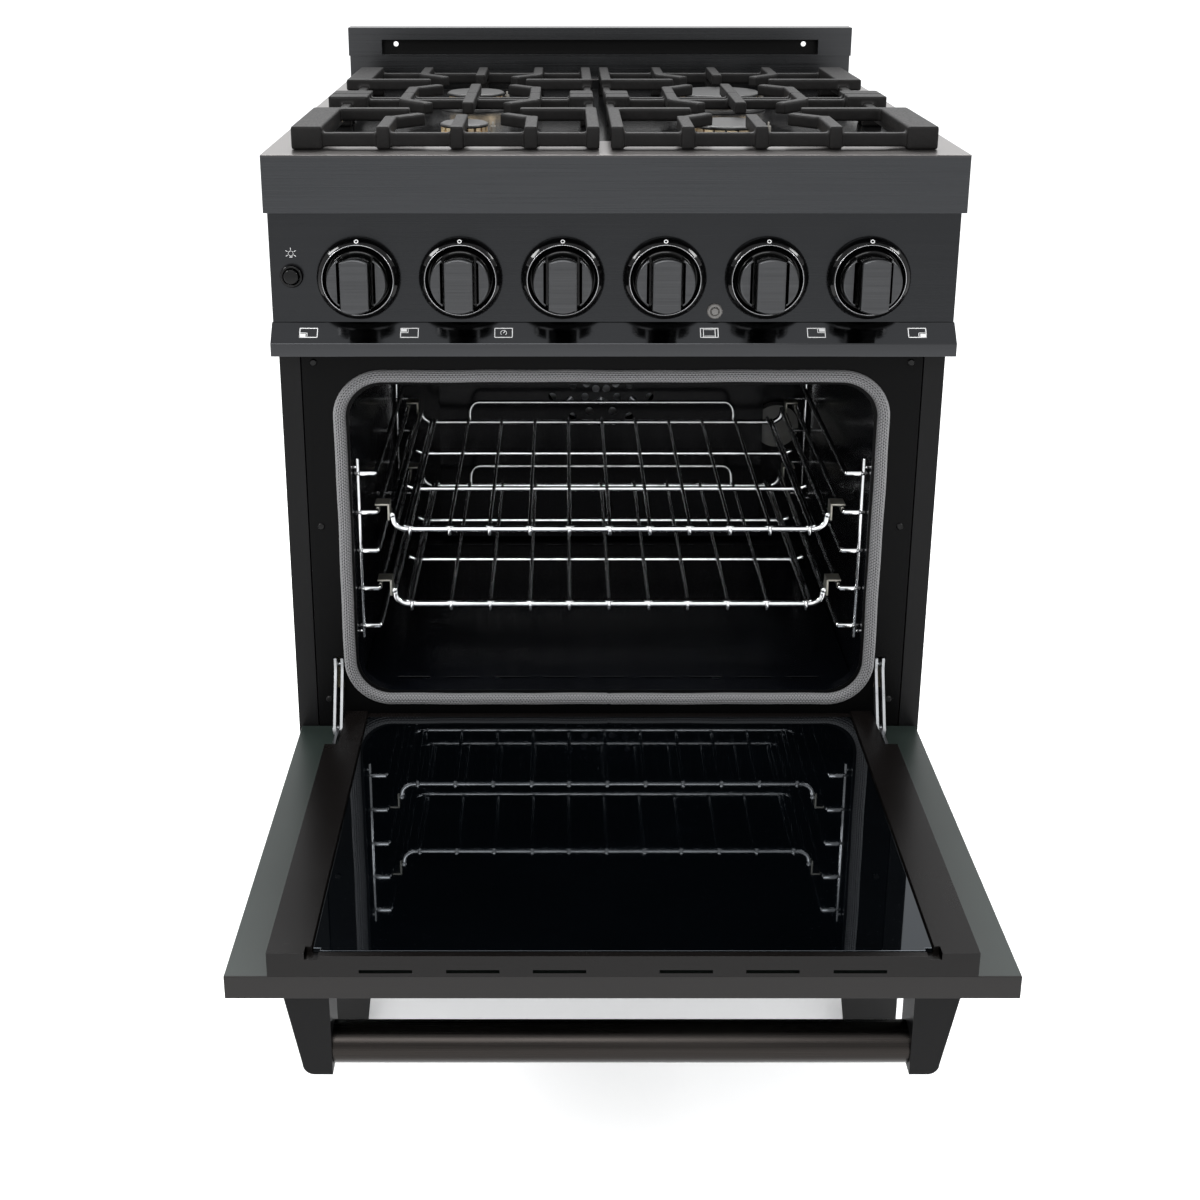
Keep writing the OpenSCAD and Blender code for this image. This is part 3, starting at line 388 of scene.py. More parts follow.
RING_BRIGHT = polished("ring_bright", (0.42, 0.42, 0.43), 0.22).mat
BLACK_GLOSS = gloss_black("knob_black", (0.002, 0.002, 0.002), 0.1).mat
CLIP = polished("clip_steel", (0.36, 0.35, 0.31), 0.4).mat

# parts of one pressed piece that carry a different finish; on the cooktop also a painted highlight on the top face and
# painted shade on the lower faces
cl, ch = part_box("cooktop")
# painted shade: the cooktop's lower faces, below the top sheet, are tinted darker than the same steel above
M["cooktop_steel"].retint(M["cooktop_steel"].within((None, None, None), (None, None, ch.z - 2.2 * mm)), (0.045, 0.0465, 0.049))
# painted highlight: the cooktop's top face is tinted a paler grey than the same steel below
M["cooktop_steel"].retint(M["cooktop_steel"].within((None, None, ch.z - 0.25 * mm), (None, None, None)), (0.2, 0.189, 0.184), rough=0.3)
M["cooktop_steel"].retint(M["cooktop_steel"].within((-0.2835, cl.y + 83 * mm, None), (0.2835, None, ch.z - 1.0 * mm)), (0.0035, 0.0035, 0.0037), rough=0.2, spec=0.2, metal=0)
bl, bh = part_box("backguard")
M["guard_steel"].retint(M["guard_steel"].within((-0.2632, bh.y - 20.5 * mm, bh.z - 32 * mm), (0.2632, bh.y - 0.5 * mm, bh.z - 13 * mm)), (0.002, 0.002, 0.002), rough=0.35, spec=0.1, metal=0)
dl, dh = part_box("door_outer_panel")
M["door_steel"].retint(M["door_steel"].within((None, None, None), (None, dl.y + 1.2 * mm, None)), (0.0075, 0.0065, 0.006), rough=0.3, spec=0.22)
M = {k: v.mat for k, v in M.items()}

SLOT = {}
for m in record.get("materials", []):
    for n in m.get("nodes", m.get("subparts", m.get("applies_to", []))) or []:
        SLOT[n] = m["slot"]
for s in record.get("subparts", []):
    if isinstance(s, dict) and s.get("material_slot"):
        SLOT[s.get("node", s.get("name"))] = s["material_slot"]


# ---------------------------------------------------------------- mesh tools
def place(vs, m):
    return [tuple(m @ Vector(v)) for v in vs]


def dist(a, b):
    return (Vector(a) - Vector(b)).length


def round_path(points, fillet, closed=False, steps=6):
    """The polyline with each corner turned into a short curve."""
    p = [Vector(q) for q in points]
    n = len(p)
    out = []
    for i in range(n):
        if not closed and i in (0, n - 1):
            out.append(p[i])
            continue
        a, b, c = p[i - 1], p[i], p[(i + 1) % n]
        d1, d2 = (a - b), (c - b)
        t = min(fillet, d1.length * 0.48, d2.length * 0.48)
        s, e = b + d1.normalized() * t, b + d2.normalized() * t
        for k in range(steps + 1):
            u = k / steps
            out.append(s * (1 - u) ** 2 + b * 2 * u * (1 - u) + e * u * u)
    return out


def tube(points, r, fillet=0.0, seg=14, closed=False, steps=6, ends=0.6):
    """A round wire along points, with softly rounded ends."""
    path = round_path(points, fillet, closed, steps) if fillet else [Vector(q) for q in points]
    clean = [path[0]]
    for q in path[1:]:
        if (q - clean[-1]).length > 1e-5:
            clean.append(q)
    if closed and (clean[0] - clean[-1]).length < 1e-5:
        clean.pop()
    path, n = clean, len(clean)
    tang = []
    for i in range(n):
        a = path[i - 1] if (i or closed) else path[i]
        b = path[(i + 1) % n] if (i < n - 1 or closed) else path[i]
        tang.append((b - a).normalized())
    ref = Vector((0, 0, 1)) if abs(tang[0].z) < 0.9 else Vector((1, 0, 0))
    u = (ref - tang[0] * ref.dot(tang[0])).normalized()
    rings = []
    for i in range(n):
        u = (u - tang[i] * u.dot(tang[i])).normalized()
        rings.append((path[i], tang[i], u.copy(), r))
    if not closed:
        head = [(path[0] - tang[0] * r * ends * math.sin(a), tang[0], rings[0][2], r * math.cos(a)) for a in (1.3, 0.9, 0.45)]
        tail = [(path[-1] + tang[-1] * r * ends * math.sin(a), tang[-1], rings[-1][2], r * math.cos(a)) for a in (0.45, 0.9, 1.3)]
        rings = head + rings + tail
    vs, fs = [], []
    for c, t, uu, rr in rings:
        w = t.cross(uu)
        for k in range(seg):
            a = 2 * math.pi * k / seg
            vs.append(tuple(c + uu * (rr * math.cos(a)) + w * (rr * math.sin(a))))
    m = len(rings)
    for i in range(m if closed else m - 1):
        j = (i + 1) % m
        for k in range(seg):
            q = (k + 1) % seg
            fs.append((i * seg + k, i * seg + q, j * seg + q, j * seg + k))
    if not closed:
        fs.append(tuple(reversed(range(seg))))
        fs.append(tuple((m - 1) * seg + k for k in range(seg)))
    return vs, fs


def lathe(profile, centre, seg=96, axis="Y"):
    """profile is (radius, distance towards -Y or +Z from centre). A radius of 0 closes the end."""
    vs, fs, rows = [], [], []
    for r, h in profile:
        if r < 1e-9:
            rows.append([len(vs)])
            vs.append((0, 0, h))
        else:
            rows.append(list(range(len(vs), len(vs) + seg)))
            vs += [(r * math.cos(2 * math.pi * k / seg), r * math.sin(2 * math.pi * k / seg), h) for k in range(seg)]
    for a, b in zip(rows, rows[1:]):
        for k in range(seg):
            q = (k + 1) % seg
            if len(a) == 1 and len(b) == 1:
                continue
            if len(a) == 1:
                fs.append((a[0], b[k], b[q]))
            elif len(b) == 1:
                fs.append((a[k], b[0], a[q]))
            else:
                fs.append((a[k], b[k], b[q], a[q]))
    rot = Matrix.Rotation(math.radians(90), 4, "X") if axis == "Y" else Matrix.Identity(4)
    return place(vs, Matrix.Translation(centre) @ rot), fs


def arc_profile(points, r, steps=5):
    """Rounds the corners of a lathe profile."""
    p = round_path([(a, b, 0) for a, b in points], r, steps=steps)
    return [(q.x, q.y) for q in p]


def prism(outline, layers, centre):
    """A 2-D outline (x, z) raised towards -Y through layers of (height, inset), closed at the top."""
    pts = [Vector((x, z)) for x, z in outline]
    n = len(pts)
    area = sum(pts[i].x * pts[(i + 1) % n].y - pts[(i + 1) % n].x * pts[i].y for i in range(n))
    if area < 0:
        pts.reverse()
    normals = []
    for i in range(n):
        a = (pts[i] - pts[i - 1]).normalized()
        b = (pts[(i + 1) % n] - pts[i]).normalized()
        na, nb = Vector((-a.y, a.x)), Vector((-b.y, b.x))
        m = (na + nb).normalized()
        normals.append(m / max(0.35, m.dot(na)))
    vs, fs = [], []
    for h, inset in layers:
        vs += [tuple(Vector(centre) + Vector((p.x + q.x * inset, -h, p.y + q.y * inset))) for p, q in zip(pts, normals)]
    for i in range(len(layers) - 1):
        for k in range(n):
            q = (k + 1) % n
            fs.append((i * n + k, i * n + q, (i + 1) * n + q, (i + 1) * n + k))
    top = (len(layers) - 1) * n
    fs.append(tuple(top + k for k in range(n)))
    fs.append(tuple(reversed(range(n))))
    return vs, fs


def slab(lo, hi, r, seg=2):
    bm = bmesh.new()
    bmesh.ops.create_cube(bm, size=1)
    for v in bm.verts:
        v.co = Vector([(a + b) / 2 + c * (b - a) for a, b, c in zip(lo, hi, v.co)])
    bmesh.ops.bevel(bm, geom=list(bm.edges), offset=r, segments=seg, profile=0.5, affect="EDGES")
    bm.verts.index_update()
    out = [tuple(v.co) for v in bm.verts], [tuple(v.index for v in f.verts) for f in bm.faces]
    bm.free()
    return out


def piece(name, parts, material, body, replaces=(), angle=38.0, uv=None):
    vs, fs = [], []
    for v, f in parts:
        base = len(vs)
        vs += v
        fs += [tuple(base + k for k in face) for face in f]
    me = bpy.data.meshes.new(name)
    me.from_pydata(vs, [], fs)
    me.validate()
    bm = bmesh.new()
    bm.from_mesh(me)
    bmesh.ops.recalc_face_normals(bm, faces=bm.faces)
    bm.to_mesh(me)
    bm.free()
    for p in me.polygons:
        p.use_smooth = True
    me.set_sharp_from_angle(angle=math.radians(angle))
    o = bpy.data.objects.new(name, me)
    bpy.context.scene.collection.objects.link(o)
    me.materials.append(material)
    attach(o, body)
    if replaces:
        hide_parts(*replaces)
    return o


def flatten(o):
    """Large faces decide the shading of what they meet, so that flats stay flat."""
    n = o.modifiers.new("weighted", "WEIGHTED_NORMAL")
    n.keep_sharp = True
    n.weight = 50


# ---------------------------------------------------------------- CAD nodes
def smooth_group():
    """Geometry nodes that shade faces smooth and keep edges above 35 degrees sharp."""
    g = bpy.data.node_groups.new("soft_faces", "GeometryNodeTree")
    g.interface.new_socket("Geometry", in_out="INPUT", socket_type="NodeSocketGeometry")
    g.interface.new_socket("Geometry", in_out="OUTPUT", socket_type="NodeSocketGeometry")
    i, o = g.nodes.new("NodeGroupInput"), g.nodes.new("NodeGroupOutput")
    s1, s2 = g.nodes.new("GeometryNodeSetShadeSmooth"), g.nodes.new("GeometryNodeSetShadeSmooth")
    s1.domain, s2.domain = "FACE", "EDGE"
    s1.inputs["Shade Smooth"].default_value = True
    s2.inputs["Shade Smooth"].default_value = False
    a, c = g.nodes.new("GeometryNodeInputMeshEdgeAngle"), g.nodes.new("FunctionNodeCompare")
    c.data_type, c.operation = "FLOAT", "GREATER_THAN"
    c.inputs[1].default_value = math.radians(35)
    g.links.new(a.outputs["Unsigned Angle"], c.inputs[0])
    g.links.new(i.outputs[0], s1.inputs["Geometry"])
    g.links.new(s1.outputs[0], s2.inputs["Geometry"])
    g.links.new(c.outputs[0], s2.inputs["Selection"])
    g.links.new(s2.outputs[0], o.inputs[0])
    return g


SOFT = smooth_group()


def dress(node, bevel=0.5 * mm, seg=2, material=None, dissolve=True):
    o = NODES[node]
    me = o.data
    for extra in ("custom_normal", "sharp_face", "sharp_edge"):
        if extra in me.attributes:
            me.attributes.remove(me.attributes[extra])
    me.materials.clear()
    me.materials.append(material or M[SLOT[node]])
    for p in me.polygons:
        p.material_index = 0
    w = o.modifiers.new("weld", "WELD")
    w.merge_threshold = 0.00002
    if dissolve:
        d = o.modifiers.new("planes", "DECIMATE")
        d.decimate_type = "DISSOLVE"
        d.angle_limit = math.radians(0.6)
    if bevel:
        b = o.modifiers.new("edge", "BEVEL")
        b.width = bevel
        b.segments = seg
        b.limit_method = "ANGLE"
        b.angle_limit = math.radians(35)
        b.use_clamp_overlap = True
        b.miter_outer = "MITER_ARC" if seg > 2 else "MITER_SHARP"
    s = o.modifiers.new("shade", "NODES")
    s.node_group = SOFT
    n = o.modifiers.new("weighted", "WEIGHTED_NORMAL")
    n.keep_sharp = True
    n.weight = 50
    return o


BEVEL = {
    "base_pan": 0.4, "legs": 0.8, "levelling_feet": 0.6, "left_side_panel": 0.5, "right_side_panel": 0.5,
    "rear_cover": 0.3, "front_frame": 0.35, "oven_cavity": 0.4, "oven_insulation": 0, "oven_floor_panel": 0.4,
    "oven_burner_tube": 0, "fan_baffle": 0.25, "fan_motor": 0.4, "convection_fan": 0.3, "oven_lamp_lens": 0.5,
    "hinge_arms": 0.5, "cooktop": 0.8, "backguard": 0.45, "control_panel": 0.4, "drip_rail": 0.8,
    "gas_valves": 0.4, "gas_manifold": 0.3, "burner_supply_tubes": 0, "power_inlet": 0.6, "lamp_button": 0.35,
    "indicator_light": 0.2, "kick_panel": 0.5, "burner_bases": 0.6, "burner_rings": 0.3, "burner_caps": 0.4,
    "burner_electrodes": 0.15, "grate_front_left": 1.7, "grate_front_right": 1.7, "grate_rear_left": 1.7,
    "grate_rear_right": 1.7, "door_outer_panel": 0.7, "door_outer_glass": 0.5, "door_liner": 0.55,
    "door_inner_glass": 0.5, "door_hinge_bodies": 0.4, "handle_bar": 1.0, "handle_brackets": 1.4,
    "fastening_screws": 0.25,
}
for k in range(1, 7):
    BEVEL[f"stem_{k}"] = 0.2
for name, b in BEVEL.items():
    if not name.startswith("grate"):
        dress(name, b * mm, 3 if name == "handle_brackets" else 2)
for name in ("grate_front_left", "grate_front_right", "grate_rear_left", "grate_rear_right"):
    o = dress(name, 0, 1, dissolve=False)
    for m_ in list(o.modifiers)[1:]:
        o.modifiers.remove(m_)
    r_ = o.modifiers.new("casting", "REMESH")
    r_.mode = "VOXEL"
    r_.voxel_size = 1.25 * mm
    r_.use_smooth_shade = True
    k_ = o.modifiers.new("soften", "SMOOTH")
    k_.factor, k_.iterations = 0.5, 7
    d_ = o.modifiers.new("lighten", "DECIMATE")
    d_.ratio = 0.4


# ---------------------------------------------------------------- oven gasket
gl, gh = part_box("door_gasket")
face_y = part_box("front_frame")[0].y
rr = 5.5 * mm
cx, cz0, cz1, cr = gh.x - 6.25 * mm, gl.z + 6.25 * mm, gh.z - 6.25 * mm, 40 * mm
path = []


def arc(cxx, czz, a0, a1, n=26):
    return [Vector((cxx + cr * math.cos(math.radians(a0 + (a1 - a0) * k / n)), 0, czz + cr * math.sin(math.radians(a0 + (a1 - a0) * k / n)))) for k in range(n + 1)]


corners = [Vector((0, 0, cz0))] + arc(cx - cr, cz0 + cr, -90, 0) + arc(cx - cr, cz1 - cr, 0, 90) + arc(-cx + cr, cz1 - cr, 90, 180) + arc(-cx + cr, cz0 + cr, 180, 270) + [Vector((0, 0, cz0))]
step = 1.1 * mm
for a, b in zip(corners, corners[1:]):
    n = max(1, round((b - a).length / step))
    path += [a.lerp(b, k / n) for k in range(n)]
seg = 56
gv, gf, guv, s = [], [], [], 0.0
N = len(path)
total = sum((path[(i + 1) % N] - path[i]).length for i in range(N))
for i, p in enumerate(path):
    t = (path[(i + 1) % N] - path[i - 1]).normalized()
    out = Vector((t.z, 0, -t.x))
    wob = 0.25 * math.sin(s * 31) + 0.18 * math.sin(s * 83 + 1.7)
    near_joint = min(s, total - s)
    pinch = 1 - 0.14 * math.exp(-(near_joint / (1.2 * mm)) ** 2)
    for k in range(seg):
        a = 2 * math.pi * k / seg
        ribs = 1 + 0.055 * math.cos(14 * a) + 0.012 * math.sin(s / mm * 2 * math.pi / 4.4 + 4 * a) * 1.0
        r = rr * ribs * pinch
        q = p + out * (r * math.cos(a) + wob * mm * 0.9) + Vector((0, -1, 0)) * (r * 1.02 * math.sin(a))
        y = min(face_y - 0.02 * mm, face_y - 0.3 * mm + q.y)
        gv.append((q.x, y, q.z))
    s += (path[(i + 1) % N] - p).length
for i in range(N):
    j = (i + 1) % N
    for k in range(seg):
        q = (k + 1) % seg
        gf.append((i * seg + k, i * seg + q, j * seg + q, j * seg + k))
        guv.append((i, k))
gasket = piece("gasket_rope", [(gv, gf)], M["gasket_braid"], BODY_OF["door_gasket"], ["door_gasket"], 80)
uv = gasket.data.uv_layers.new(name="UVMap")
for poly in gasket.data.polygons:
    i0 = min(v // seg for v in poly.vertices)
    i1 = max(v // seg for v in poly.vertices)
    for li in poly.loop_indices:
        v = gasket.data.loops[li].vertex_index
        i, k = divmod(v, seg)
        if i1 - i0 > 1 and i == 0:
            i = N
        ks = [w % seg for w in poly.vertices]
        if max(ks) - min(ks) > 1 and k == 0:
            k = seg
        uv.data[li].uv = (i * total / N / mm, k * 2 * math.pi * rr / seg / mm)


# ---------------------------------------------------------------- racks and guides
def make_rack(node):
    lo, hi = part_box(node)
    z = hi.z - 4.8 * mm
    g = z - 22 * mm
    y0 = lo.y + 4 * mm
    st, sx, pitch = 112.7 * mm, 208 * mm, 38.3 * mm
    y3 = y0 + 3 * st
    parts = []
    for y in (y0, y3):
        parts.append(tube([(-sx, y, z - 7 * mm), (-sx + 1 * mm, y, g + 6 * mm), (-sx + 9 * mm, y, g), (sx - 9 * mm, y, g), (sx - 1 * mm, y, g + 6 * mm), (sx, y, z - 7 * mm)], 3 * mm, 7 * mm, 18))
    for k in (1, 2):
        y = y0 + k * st
        parts.append(tube([(-sx + 4 * mm, y, g + 3 * mm), (-sx + 12 * mm, y, g), (sx - 12 * mm, y, g), (sx - 4 * mm, y, g + 3 * mm)], 2.5 * mm, 5 * mm, 14))
    zt = g + 4.2 * mm
    for i in range(-5, 6):
        x = i * pitch
        w = 0.35 * mm * math.sin(i * 2.3)
        parts.append(tube([(x + w, y0 - 3.2 * mm, g - 4.2 * mm), (x + w, y0 - 4.4 * mm, g + 1.2 * mm), (x, y0 - 1.2 * mm, zt), (x, y0 + 8 * mm, zt), (x, y3 - 6 * mm, zt), (x, y3 + 2.5 * mm, zt)], 1.85 * mm, 2.2 * mm, 12, steps=4))
        for y in (y0, y3):
            parts.append(tube([(x - 2.6 * mm, y, g + 2.0 * mm), (x + 2.6 * mm, y, g + 2.0 * mm)], 1.6 * mm, 0, 10, ends=1.0))
    for m in (-1, 1):
        parts.append(tube([(m * sx, y0 - 2 * mm, z - 7 * mm), (m * sx, y3 + 2 * mm, z - 7 * mm)], 3 * mm, 0, 14))
        parts.append(tube([(m * (5 * pitch + 4.5 * mm), y0, g + 2 * mm), (m * (5 * pitch + 4.5 * mm), y3, g + 2 * mm)], 2.4 * mm, 0, 12))
    parts.append(tube([(-152 * mm, y3, g), (-152 * mm, y3 + 5 * mm, g + 14 * mm), (-146 * mm, y3 + 6 * mm, g + 22 * mm), (146 * mm, y3 + 6 * mm, g + 22 * mm), (152 * mm, y3 + 5 * mm, g + 14 * mm), (152 * mm, y3, g)], 2.3 * mm, 9 * mm, 14))
    o = piece(node + "_wires", parts, M["wire_chrome"], BODY_OF[node], [node])
    clips = []
    for m in (-1, 1):
        for y in (y0 - 4 * mm, y3 - 12 * mm):
            xa, xb = sorted((m * (sx + 2 * mm), m * (sx + 4 * mm)))
            clips.append(slab((xa, y, z - 12 * mm), (xb, y + 16 * mm, z + 4.8 * mm), 0.6 * mm))
            xa, xb = sorted((m * (sx + 2.2 * mm), m * hi.x))
            clips.append(slab((xa, y, z + 2.8 * mm), (xb, y + 16 * mm, z + 4.8 * mm), 0.6 * mm))
    piece(node + "_clips", clips, CLIP, BODY_OF[node], [])


make_rack("upper_rack")
make_rack("lower_rack")

lo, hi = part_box("rack_guides")
gx, ya, yb = 238 * mm, lo.y + 2.5 * mm, hi.y - 2.5 * mm
parts = []
for m in (-1, 1):
    for y in (ya, yb):
        parts.append(tube([(m * gx, y, lo.z), (m * gx, y, hi.z)], 2.2 * mm, 0, 14))
        for z in (lo.z + 6 * mm, hi.z - 8 * mm):
            parts.append(tube([(m * gx, y, z), (m * 241.5 * mm, y, z)], 2.0 * mm, 0, 12))
    for k in range(5):
        z = lo.z + (12 + 39 * k) * mm
        parts.append(tube([(m * 240.6 * mm, ya - 0.2 * mm, z), (m * 221 * mm, ya - 0.2 * mm, z), (m * 221 * mm, yb, z), (m * gx, yb, z)], 2.5 * mm, 4 * mm, 14))
        parts.append(slab(tuple(sorted((m * 221 * mm, m * 236 * mm)))[:1] + (ya - 3.0 * mm, z - 1.6 * mm), tuple(sorted((m * 221 * mm, m * 236 * mm)))[1:] + (ya - 1.2 * mm, z + 2.4 * mm), 0.7 * mm))
piece("guide_wires", parts, M["wire_chrome"], BODY_OF["rack_guides"], ["rack_guides"])


# ---------------------------------------------------------------- knobs and bezels
panel_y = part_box("control_panel")[0].y


def arc_pts(r, a0, a1, n):
    return [(r * math.cos(a0 + (a1 - a0) * k / n), r * math.sin(a0 + (a1 - a0) * k / n)) for k in range(n + 1)]


bezels, rings, ringmarks, ticks = [], [], [], []
for i in range(1, 7):
    lo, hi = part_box(f"knob_{i}")
    c = Vector(((lo.x + hi.x) / 2, panel_y, (lo.z + hi.z) / 2))
    R = (hi.x - lo.x) / 2
    front = panel_y - lo.y
    gw, gr = 12.9 * mm, R - 1.9 * mm
    a = math.asin(gw / gr)
    top = arc_pts(gr, math.pi / 2 - a, math.pi / 2 + a, 14)
    bottom = arc_pts(gr, -math.pi / 2 - a, -math.pi / 2 + a, 14)
    sides = [(gr - 6 * mm) * (1 - 2 * k / 8) for k in range(1, 8)]
    outline = top + [(-gw, z) for z in sides] + bottom + [(gw, -z) for z in sides]
    core = prism(outline, [(9.5 * mm, 0.3 * mm), (10 * mm, 0), (22 * mm, 0), (front - 3.4 * mm, 0.5 * mm)], c)
    plate = prism(outline, [(front - 3.5 * mm, 0.45 * mm), (front - 1.9 * mm, 0.55 * mm), (front - 0.9 * mm, 0.95 * mm), (front - 0.25 * mm, 1.8 * mm), (front, 3.0 * mm)], c)
    skirt = lathe(arc_profile([(4.2 * mm, 9.5 * mm), (R - 0.6 * mm, 9.5 * mm), (R, 10.6 * mm), (R - 0.4 * mm, 12.0 * mm), (R - 2.0 * mm, 12.6 * mm), (0, 12.6 * mm)], 0.6 * mm, 3), c, 96)
    xs, black, grey = gw + 2.0 * mm, [core, skirt], [plate]
    for m in (1, -1):
        for rad, dest, layers in (
            (R - 0.7 * mm, black, [(12.0 * mm, 0), (19.6 * mm, 0.15 * mm)]),
            (R - 0.9 * mm, grey, [(19.5 * mm, 0.0), (21.2 * mm, 0.15 * mm), (21.9 * mm, 0.5 * mm), (22.35 * mm, 1.1 * mm), (22.5 * mm, 2.0 * mm)]),
        ):
            b = math.acos(xs / rad)
            seg_out = [(m * x, z) for x, z in arc_pts(rad, -b, b, 40)]
            chord = [(m * xs, rad * math.sin(b) * (1 - 2 * k / 10)) for k in range(1, 10)]
            dest.append(prism(seg_out + chord, layers, c))
    o = piece(f"knob_{i}_body", grey, M["knob_metal"], BODY_OF[f"knob_{i}"], [f"knob_{i}"], 30)
    flatten(o)
    o = piece(f"knob_{i}_core", black, BLACK_GLOSS, BODY_OF[f"knob_{i}"], [], 30)
    flatten(o)
    B = 37 * mm
    prof = arc_profile([(5.5 * mm, 0.0), (B, 0.0), (B, 3 * mm), (B - 1.5 * mm, 7.4 * mm), (B - 4.8 * mm, 10.3 * mm), (B - 5.7 * mm, 10.1 * mm), (B - 6.3 * mm, 8.6 * mm), (B - 7.6 * mm, 3.4 * mm), (5.5 * mm, 3 * mm), (5.5 * mm, 0.0)], 1.2 * mm, 6)
    bezels.append(lathe(prof, c, 128))
    rp = [(B - 5.75 * mm + 0.42 * mm * math.cos(t), 9.95 * mm + 0.42 * mm * math.sin(t)) for t in [2 * math.pi * k / 12 for k in range(13)]]
    rings.append(lathe(rp, c, 128))
    # small white ring printed at the top of the bezel, on its sloping face
    slope = math.atan2(2.6, 2.8)
    n = Vector((0, -math.cos(slope), math.sin(slope)))
    o = c + Vector((0, -9.15 * mm, 34.3 * mm)) + n * 0.05 * mm
    flat = [(1.9 * mm, 0), (1.9 * mm, 0.25 * mm), (1.15 * mm, 0.25 * mm), (1.15 * mm, 0), (1.9 * mm, 0)]
    v, f = lathe(flat, (0, 0, 0), 32, "Z")
    q = Vector((0, 0, 1)).rotation_difference(n).to_matrix().to_4x4()
    ringmarks.append((place(v, Matrix.Translation(o) @ q), f))
lo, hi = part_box("lamp_button")
lb = Vector(((lo.x + hi.x) / 2, panel_y, (lo.z + hi.z) / 2))
bezels.append(lathe(arc_profile([(7.3 * mm, 0), (10.3 * mm, 0), (10.3 * mm, 3 * mm), (9.3 * mm, 4.4 * mm), (7.8 * mm, 4.4 * mm), (7.3 * mm, 3.6 * mm), (7.3 * mm, 0)], 0.5 * mm, 4), lb, 64))
piece("bezel_rings", bezels, M["bezel_gloss"], BODY_OF["control_bezels"], ["control_bezels"], 45)
piece("bezel_inner_rings", rings, RING_BRIGHT, BODY_OF["control_bezels"], [], 60)


# ---------------------------------------------------------------- printed marks
def strip(a, b, w, u, v, n, o, h=0.18 * mm):
    """A thin raised line from a to b in the plane (o, u, v)."""
    d = Vector((b[0] - a[0], b[1] - a[1]))
    d = d.normalized() if d.length else Vector((1, 0))
    s = Vector((-d.y, d.x)) * w / 2
    e = d * w / 2
    pts = [(a[0] - e.x + s.x, a[1] - e.y + s.y), (b[0] + e.x + s.x, b[1] + e.y + s.y), (b[0] + e.x - s.x, b[1] + e.y - s.y), (a[0] - e.x - s.x, a[1] - e.y - s.y)]
    vs = [tuple(o + u * x + v * y) for x, y in pts] + [tuple(o + u * x + v * y + n * h) for x, y in pts]
    return vs, [(0, 1, 2, 3), (7, 6, 5, 4), (0, 4, 5, 1), (1, 5, 6, 2), (2, 6, 7, 3), (3, 7, 4, 0)]


def frame_lines(w, h, t, *plane):
    c = [(-w / 2, -h / 2), (w / 2, -h / 2), (w / 2, h / 2), (-w / 2, h / 2)]
    return [strip(c[k], c[(k + 1) % 4], t, *plane) for k in range(4)]


rl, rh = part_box("drip_rail")
p_top = Vector((0, panel_y - 0.1 * mm, rh.z))
p_low = Vector((0, rl.y, rh.z - (panel_y - 0.1 * mm - rl.y) * 16 / 15.4))
V = (p_top - p_low).normalized()
U = Vector((1, 0, 0))
Nn = U.cross(V).normalized()
if Nn.y > 0:
    Nn = -Nn
mid = (p_top + p_low) / 2 + Nn * 0.02 * mm
marks = list(ringmarks)
kx = [(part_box(f"knob_{i}")[0].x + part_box(f"knob_{i}")[1].x) / 2 for i in range(1, 7)]
W, H, T = 15.6 * mm, 9.2 * mm, 0.7 * mm
icons = [(kx[0] - 45.5 * mm, "bl"), (kx[1] - 46 * mm, "tl"), (kx[2] - 52.5 * mm, "dial"), (kx[3] + 40 * mm, "oven"), (kx[4] + 45 * mm, "tr"), (kx[5] + 44.5 * mm, "br")]
for x, kind in icons:
    plane = (U, V, Nn, mid + U * x)
    marks += frame_lines(W, H, T, *plane)
    if kind in ("bl", "tl", "br", "tr"):
        sx_, sy_ = (-1 if kind[1] == "l" else 1), (-1 if kind[0] == "b" else 1)
        cx_, cy_ = sx_ * W * 0.34, sy_ * H * 0.32
        marks.append(strip((cx_ - 1.1 * mm, cy_), (cx_ + 1.1 * mm, cy_), 3.4 * mm, *plane))
        marks.append(strip((sx_ * W * 0.08, sy_ * H * 0.5), (sx_ * W * 0.08, sy_ * H * 0.02), 0.5 * mm, *plane))
        marks.append(strip((sx_ * W * 0.08, sy_ * H * 0.02), (sx_ * W * 0.5, sy_ * H * 0.02), 0.5 * mm, *plane))
    if kind == "dial":
        for k in range(10):
            a0, a1 = math.radians(-40 + k * 26), math.radians(-40 + (k + 1) * 26)
            marks.append(strip((2.6 * mm * math.cos(a0), 2.6 * mm * math.sin(a0)), (2.6 * mm * math.cos(a1), 2.6 * mm * math.sin(a1)), 0.5 * mm, *plane))
        marks.append(strip((0, 0), (1.2 * mm, 1.6 * mm), 0.6 * mm, *plane))
    if kind == "oven":
        for m in (-1, 1):
            marks.append(strip((m * 5.2 * mm, -H / 2), (m * 5.2 * mm, H / 2), 0.6 * mm, *plane))
        for m in (-1, 1):
            marks.append(strip((-4.4 * mm, m * 3.3 * mm), (4.4 * mm, m * 3.3 * mm), 0.4 * mm, *plane))
# a small lamp sign above the lamp button
plane = (U, Vector((0, 0, 1)), Vector((0, -1, 0)), Vector((lb.x, panel_y - 0.02 * mm, lb.z + 20 * mm)))
for k in range(14):
    a0, a1 = 2 * math.pi * k / 14, 2 * math.pi * (k + 1) / 14
    marks.append(strip((2.2 * mm * math.cos(a0), 2.2 * mm * math.sin(a0)), (2.2 * mm * math.cos(a1), 2.2 * mm * math.sin(a1)), 0.45 * mm, *plane))
for a in (30, 90, 150, 210, 330):
    ca, sa = math.cos(math.radians(a)), math.sin(math.radians(a))
    marks.append(strip((3.4 * mm * ca, 3.4 * mm * sa), (4.9 * mm * ca, 4.9 * mm * sa), 0.45 * mm, *plane))
marks.append(strip((-1.0 * mm, -3.2 * mm), (1.0 * mm, -3.2 * mm), 0.6 * mm, *plane))
piece("printed_marks", marks, PRINT, BODY_OF["control_panel"], [], 30)


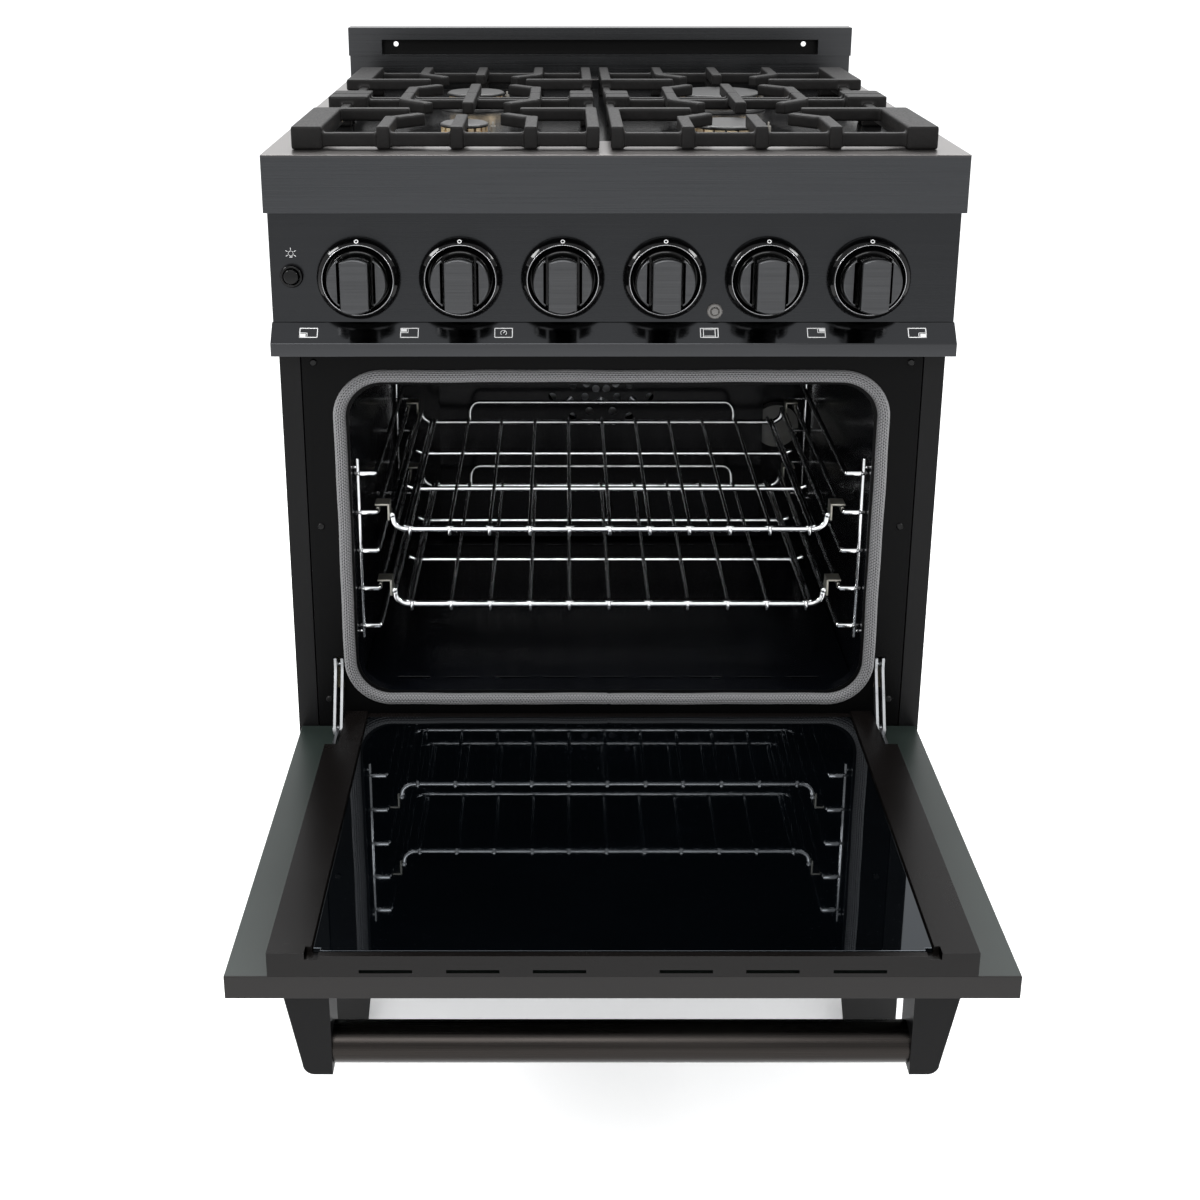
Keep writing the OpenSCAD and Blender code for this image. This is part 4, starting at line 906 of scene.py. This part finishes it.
# ---------------------------------------------------------------- stage, light, camera
floor_me = bpy.data.meshes.new("studio_floor")
F = 60.0
floor_me.from_pydata([(-F, -F, 0), (F, -F, 0), (F, F, 0), (-F, F, 0)], [], [(0, 1, 2, 3)])
floor = bpy.data.objects.new("studio_floor", floor_me)
bpy.context.scene.collection.objects.link(floor)
t = Tree("floor_paper")
a = t.noise(t.mapping((3, 3, 3)), 1.0, 4.0, 0.5)
b = t.noise(t.mapping((400, 400, 400)), 1.0, 2.0, 0.5)
t.color(t.ramp(a, [(0.3, (0.955, 0.955, 0.955)), (0.7, (0.965, 0.965, 0.965))]))
t.rough(t.span(b, 0.8, 0.95))
t.set(Specular_IOR_Level=0.1, Emission_Color=(1, 1, 1, 1), Emission_Strength=0.3)
floor_me.materials.append(t.mat)

world = bpy.data.worlds.new("studio")
bpy.context.scene.world = world
world.use_nodes = True
wt = world.node_tree
bg = next(n for n in wt.nodes if n.type == "BACKGROUND")
tc, sx3 = wt.nodes.new("ShaderNodeTexCoord"), wt.nodes.new("ShaderNodeSeparateXYZ")
rp = wt.nodes.new("ShaderNodeValToRGB")
rp.color_ramp.elements[0].position = 0.0
rp.color_ramp.elements[0].color = (1.0, 1.0, 1.0, 1)
rp.color_ramp.elements[1].position = 1.0
rp.color_ramp.elements[1].color = (0.92, 0.93, 0.95, 1)
wt.links.new(tc.outputs["Generated"], sx3.inputs[0])
wt.links.new(sx3.outputs["Z"], rp.inputs["Fac"])
wt.links.new(rp.outputs["Color"], bg.inputs["Color"])
bg.inputs["Strength"].default_value = 1.12


def softbox(name, at, aim, w, h, watts):
    l = bpy.data.lights.new(name, "AREA")
    l.shape = "RECTANGLE"
    l.size, l.size_y, l.energy = w, h, watts
    o = bpy.data.objects.new(name, l)
    bpy.context.scene.collection.objects.link(o)
    o.location = at
    o.rotation_euler = (Vector(aim) - Vector(at)).to_track_quat("-Z", "Y").to_euler()
    return o


softbox("key_left", (-1.65, -0.55, 1.95), (0, -0.1, 0.8), 0.42, 0.6, 26)
softbox("key_right", (1.65, -0.5, 1.9), (0, -0.1, 0.8), 0.36, 0.55, 18)
softbox("front", (-0.3, -2.6, 2.3), (0, 0, 0.6), 1.6, 0.9, 30)
softbox("top", (0.0, 1.1, 2.5), (0, 0, 0.8), 1.8, 0.8, 50)

scene = bpy.context.scene
scene.view_settings.view_transform = "Standard"
scene.view_settings.look = "None"
cam_data = bpy.data.cameras.new("camera")
cam = bpy.data.objects.new("camera", cam_data)
scene.collection.objects.link(cam)
cam.location = (-0.0455, -1.5489, 1.1212)
cam.rotation_euler = (math.radians(72.0), 0, 0)
cam_data.sensor_width = 36
cam_data.lens = 49.218
cam_data.shift_x = 0.0315
cam_data.shift_y = -0.14
cam_data.clip_start, cam_data.clip_end = 0.05, 200
scene.camera = cam
